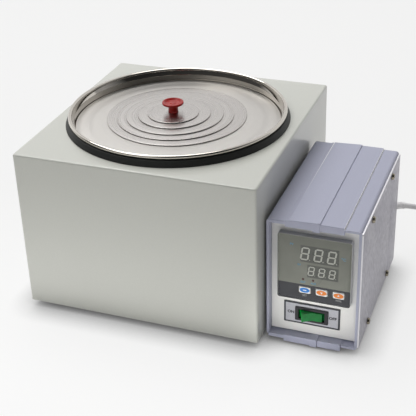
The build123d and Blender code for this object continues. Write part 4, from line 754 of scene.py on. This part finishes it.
keys = [("set", -8.6, padBlue, "dash"), ("down", 8.0, padOrange, "down"), ("up", 24.4, padOrange, "up")]
keyFace = {
    "front": controller["front"], "up": -23.7, "pad": 0.92, "oval": (9.8, 5.4), "print": 0.05,
    "dash": (3.4, 1.0), "arrow": 1.5,
}
for name, across, ovalFilm, mark in keys:
    node, body = name + "_button", name + "_button_body"
    x, z = controller["x"] + across, controller["z"] + keyFace["up"]
    where, signDepth = (x, keyFace["front"], z), 4 * keyFace["print"]
    key = dressNode(node, name + "Key", padWhite, body, edge=0.15)
    for corner in key.data.vertices:
        # The printed pad is a little smaller than the moving key.
        corner.co.x = x * mm + (corner.co.x - x * mm) * keyFace["pad"]
        corner.co.z = z * mm + (corner.co.z - z * mm) * keyFace["pad"]
    deselectAll()
    bpy.ops.mesh.primitive_cylinder_add(
        vertices=48, radius=0.5, depth=1, location=metres(where), rotation=(math.pi / 2, 0, 0),
    )
    oval = bpy.context.object
    oval.name = name + "Oval"
    oval.scale = metres((keyFace["oval"][0], keyFace["oval"][1], 2 * keyFace["print"]))
    finishPiece(oval, ovalFilm, body, smooth=0)
    if mark == "dash":
        sign = block("sign", where, (keyFace["dash"][0], signDepth, keyFace["dash"][1]))
    else:
        deselectAll()
        turned = 0 if mark == "up" else math.pi
        bpy.ops.mesh.primitive_cylinder_add(
            vertices=3, radius=keyFace["arrow"] * mm, depth=signDepth * mm, location=metres(where),
            rotation=(math.pi / 2, turned, 0),
        )
        sign = bpy.context.object
    sign.name = name + "Sign"
    finishPiece(sign, padWhite, body, smooth=0)
print("controller dressed")

# Mains switch. Its label is a frame of film round the hole for the rocker.
dressNode("switch_plate", "switchPlate", labelDark, edge=0.1)
label = {"border": 1.8, "film": 0.08, "hole": (31.0, 14.0), "wordAway": 20.9, "wordSize": 4.3, "wordWeight": 0.2}
faceWide, faceHigh = (length - 2 * label["border"] for length in switch["plate"])
holeWide, holeHigh = label["hole"]
endWide, endHigh = (faceWide - holeWide) / 2, (faceHigh - holeHigh) / 2
faceParts = []
for way in (-1, 1):
    beside = (switch["x"] + way * (holeWide + endWide) / 2, switch["plateFront"], switch["z"])
    faceParts.append(block("face", beside, (endWide, label["film"], faceHigh)))
    above = (switch["x"], switch["plateFront"], switch["z"] + way * (holeHigh + endHigh) / 2)
    faceParts.append(block("face", above, (holeWide, label["film"], endHigh)))
finishPiece(join("switchPlateFace", faceParts), labelGrey, smooth=0)
for name, text, way in (("switchOn", "ON", -1), ("switchOff", "OFF", 1)):
    where = (switch["x"] + way * label["wordAway"], switch["plateFront"] - label["film"] / 2, switch["z"])
    words(name, text, label["wordSize"], where, inkDark, weight=label["wordWeight"])
dressNode("switch_body", "switchBody", nylonBlack, edge=0.3)
rocker = {"pivot": (122.9, -99.1), "narrow": 0.82, "lowNarrow": 0.88, "flat": 0.9, "rise": 1.3, "reach": 12.6}
rockerPiece = dressNode("switch_rocker", "switchRocker", rockerGreen, "switch_rocker_body", edge=0.35)
for corner in rockerPiece.data.vertices:
    # Both ends draw in before the pivot, and the raised one stands well out of the frame.
    across = corner.co.x / mm - rocker["pivot"][0]
    if corner.co.y / mm < rocker["pivot"][1]:
        share = rocker["narrow"] if across < 0 else rocker["lowNarrow"]
        corner.co.x = (rocker["pivot"][0] + across * share) * mm
        corner.co.y += rocker["rise"] * min(across, 0) / rocker["reach"] * mm
        corner.co.z = (switch["z"] + (corner.co.z / mm - switch["z"]) * rocker["flat"]) * mm
print("switch dressed")

# The pieces whose CAD shape is already right
kept = {
    "bottom_plate": zincSteel, "base_screws": screwNickel, "foot_screws": screwNickel, "foot_nuts": zincSteel,
    "box_bolts": zincSteel, "box_nuts": zincSteel, "box_spacers": nylonBlack, "wire_bushing": gasketRubber,
    "heating_element": tubeSteel, "element_fittings": brass, "element_nuts": brass, "temperature_probe": tubeSteel,
    "probe_fitting": brass, "insulation": wool, "rear_panel_screws": screwNickel, "controller_back": nylonBlack,
    "controller_clamp": nylonBlack, "display_board": boardGreen, "upper_display": windowGrey,
    "lower_display": windowGrey, "indicator_leds": ledEpoxy, "key_switches": nylonBlack,
    "switch_terminals": terminalBrass, "relay": nylonWhite, "heat_sink": finAluminium, "terminal_block": nylonWhite,
}
for node, material in kept.items():
    for materialSlot in nodes[node].material_slots:
        materialSlot.material = material
print("kept nodes finished")

# Floor and backdrop: white paper, which cameras and mirrors see by its own glow
studio = {
    "floor": "#E6E6E5", "floorSeen": "#646463", "glow": 0.785, "frontGlow": 1.08, "frontFrom": 0.10, "frontTo": -0.25,
    "contact": 0.03, "worldSeen": 0.92, "softBox": 2.6, "paper": 9.0, "backdrop": (0, 3.2, 1.5),
}
studioWhite, tree, shader = newMaterial("studioWhite", studio["floor"], 0.9)
rays = addNode(tree, "ShaderNodeLightPath")
seen = rays["Is Camera Ray"]
for ray in ("Is Glossy Ray", "Is Transmission Ray"):
    seen = addNode(tree, "ShaderNodeMath", {0: seen, 1: rays[ray]}, operation="MAXIMUM")[0]
near = addNode(tree, "ShaderNodeAmbientOcclusion", {"Distance": studio["contact"]}, samples=8)["AO"]
# The paper is lit a little more towards the front.
axes = addNode(tree, "ShaderNodeSeparateXYZ", {"Vector": addNode(tree, "ShaderNodeTexCoord")["Object"]})
ahead = addNode(tree, "ShaderNodeMapRange", {
    "Value": axes["Y"], "From Min": studio["frontFrom"], "From Max": studio["frontTo"], "To Max": studio["frontGlow"],
    "To Min": 1.0,
})[0]
glow = studio["glow"]
for share in (seen, near, ahead):
    glow = addNode(tree, "ShaderNodeMath", {0: glow, 1: share}, operation="MULTIPLY")[0]
shades = {0: seen, 6: colour(studio["floor"]), 7: colour(studio["floorSeen"])}
tree.links.new(addNode(tree, "ShaderNodeMix", shades, data_type="RGBA")[2], shader.inputs["Base Color"])
shader.inputs["Specular IOR Level"].default_value = 0.0
shader.inputs["Emission Color"].default_value = (1, 1, 1, 1)
tree.links.new(glow, shader.inputs["Emission Strength"])
sheets = []
for name, where, tilt in (("floor", (0, 0, 0), 0), ("backdrop", studio["backdrop"], math.pi / 2)):
    deselectAll()
    bpy.ops.mesh.primitive_plane_add(size=studio["paper"], location=where, rotation=(tilt, 0, 0))
    sheets.append(bpy.context.object)
    sheets[-1].name = name
    sheets[-1].data.materials.append(studioWhite)
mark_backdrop(*sheets)

# Lamps: one large soft one above, a low card on the table in front that sends light up the front faces,
# and a small white card that lifts the lower half of the panel. Places and sizes are in metres.
lamps = {
    "topLamp": {"place": (-0.7, 0.5, 1.9), "aim": (0, 0, 0.1), "size": (1.6, 1.6), "power": 26.5, "spread": 180},
    "fillLamp": {
        "place": (-0.03, -0.235, 0.003), "aim": (-0.03, -0.235, 1.0), "size": (0.52, 0.16),
        "power": 0.30, "spread": 180,
    },
    "cardLamp": {
        "place": (0.09, -0.31, 0.035), "aim": (0.125, -0.1, 0.026), "size": (0.06, 0.06),
        "power": 0.009, "spread": 36,
    },
}
for name, kind in lamps.items():
    deselectAll()
    bpy.ops.object.light_add(type="AREA", location=kind["place"])
    lamp = bpy.context.object
    lamp.name = name
    lamp.data.shape = "RECTANGLE"
    lamp.data.size, lamp.data.size_y = kind["size"]
    lamp.data.energy = kind["power"]
    lamp.data.spread = math.radians(kind["spread"])
    lamp.rotation_euler = (Vector(kind["aim"]) - Vector(kind["place"])).to_track_quat("-Z", "Y").to_euler()
    if name != "topLamp":
        lamp.visible_camera = False
        lamp.visible_glossy = False

# World: dim before the object and bright behind it, which the polished steel shows
world = bpy.data.worlds.new("studio")
bpy.context.scene.world = world
world.use_nodes = True
sky = world.node_tree
rays = addNode(sky, "ShaderNodeLightPath")
axes = addNode(sky, "ShaderNodeSeparateXYZ", {"Vector": addNode(sky, "ShaderNodeTexCoord")["Generated"]})
# Each is (axis looked along, from, to, strength at the first, strength at the second).
fades = {
    "light": ("Y", -0.6, 0.6, 0.34, 0.80),
    "mirror": ("Y", -0.15, 0.35, 0.055, 0.95),
    "side": ("X", -0.8, 0.8, 1.15, 0.40),
}
strength = {}
for name, (axis, start, end, low, high) in fades.items():
    fade = {"Value": axes[axis], "From Min": start, "From Max": end, "To Min": low, "To Max": high}
    strength[name] = addNode(sky, "ShaderNodeMapRange", fade)[0]
# A soft box hangs over the camera, and only steep steel and the knob's cap mirror it.
softEdges = (("Z", 0.58, 0.68), ("Z", 0.93, 0.86), ("Y", -0.1, -0.3), ("X", 0.05, -0.25))  # where each fades in
softBox = studio["softBox"]
for axis, start, end in softEdges:
    share = addNode(sky, "ShaderNodeMapRange", {"Value": axes[axis], "From Min": start, "From Max": end})[0]
    softBox = addNode(sky, "ShaderNodeMath", {0: softBox, 1: share}, operation="MULTIPLY")[0]
mirror = addNode(sky, "ShaderNodeMath", {0: strength["mirror"], 1: softBox}, operation="ADD")[0]
both = addNode(sky, "ShaderNodeMix", {"Factor": rays["Is Glossy Ray"], "A": strength["light"], "B": mirror})[0]
even = addNode(sky, "ShaderNodeMath", {0: both, 1: strength["side"]}, operation="MULTIPLY")[0]
shown = addNode(sky, "ShaderNodeMix", {"Factor": rays["Is Camera Ray"], "A": even, "B": studio["worldSeen"]})[0]
sky.links.new(shown, sky.nodes["Background"].inputs["Strength"])
sky.nodes["Background"].inputs["Color"].default_value = (1, 1, 1, 1)
bpy.context.scene.view_settings.view_transform = "Standard"
print("studio lit")

low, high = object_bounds()
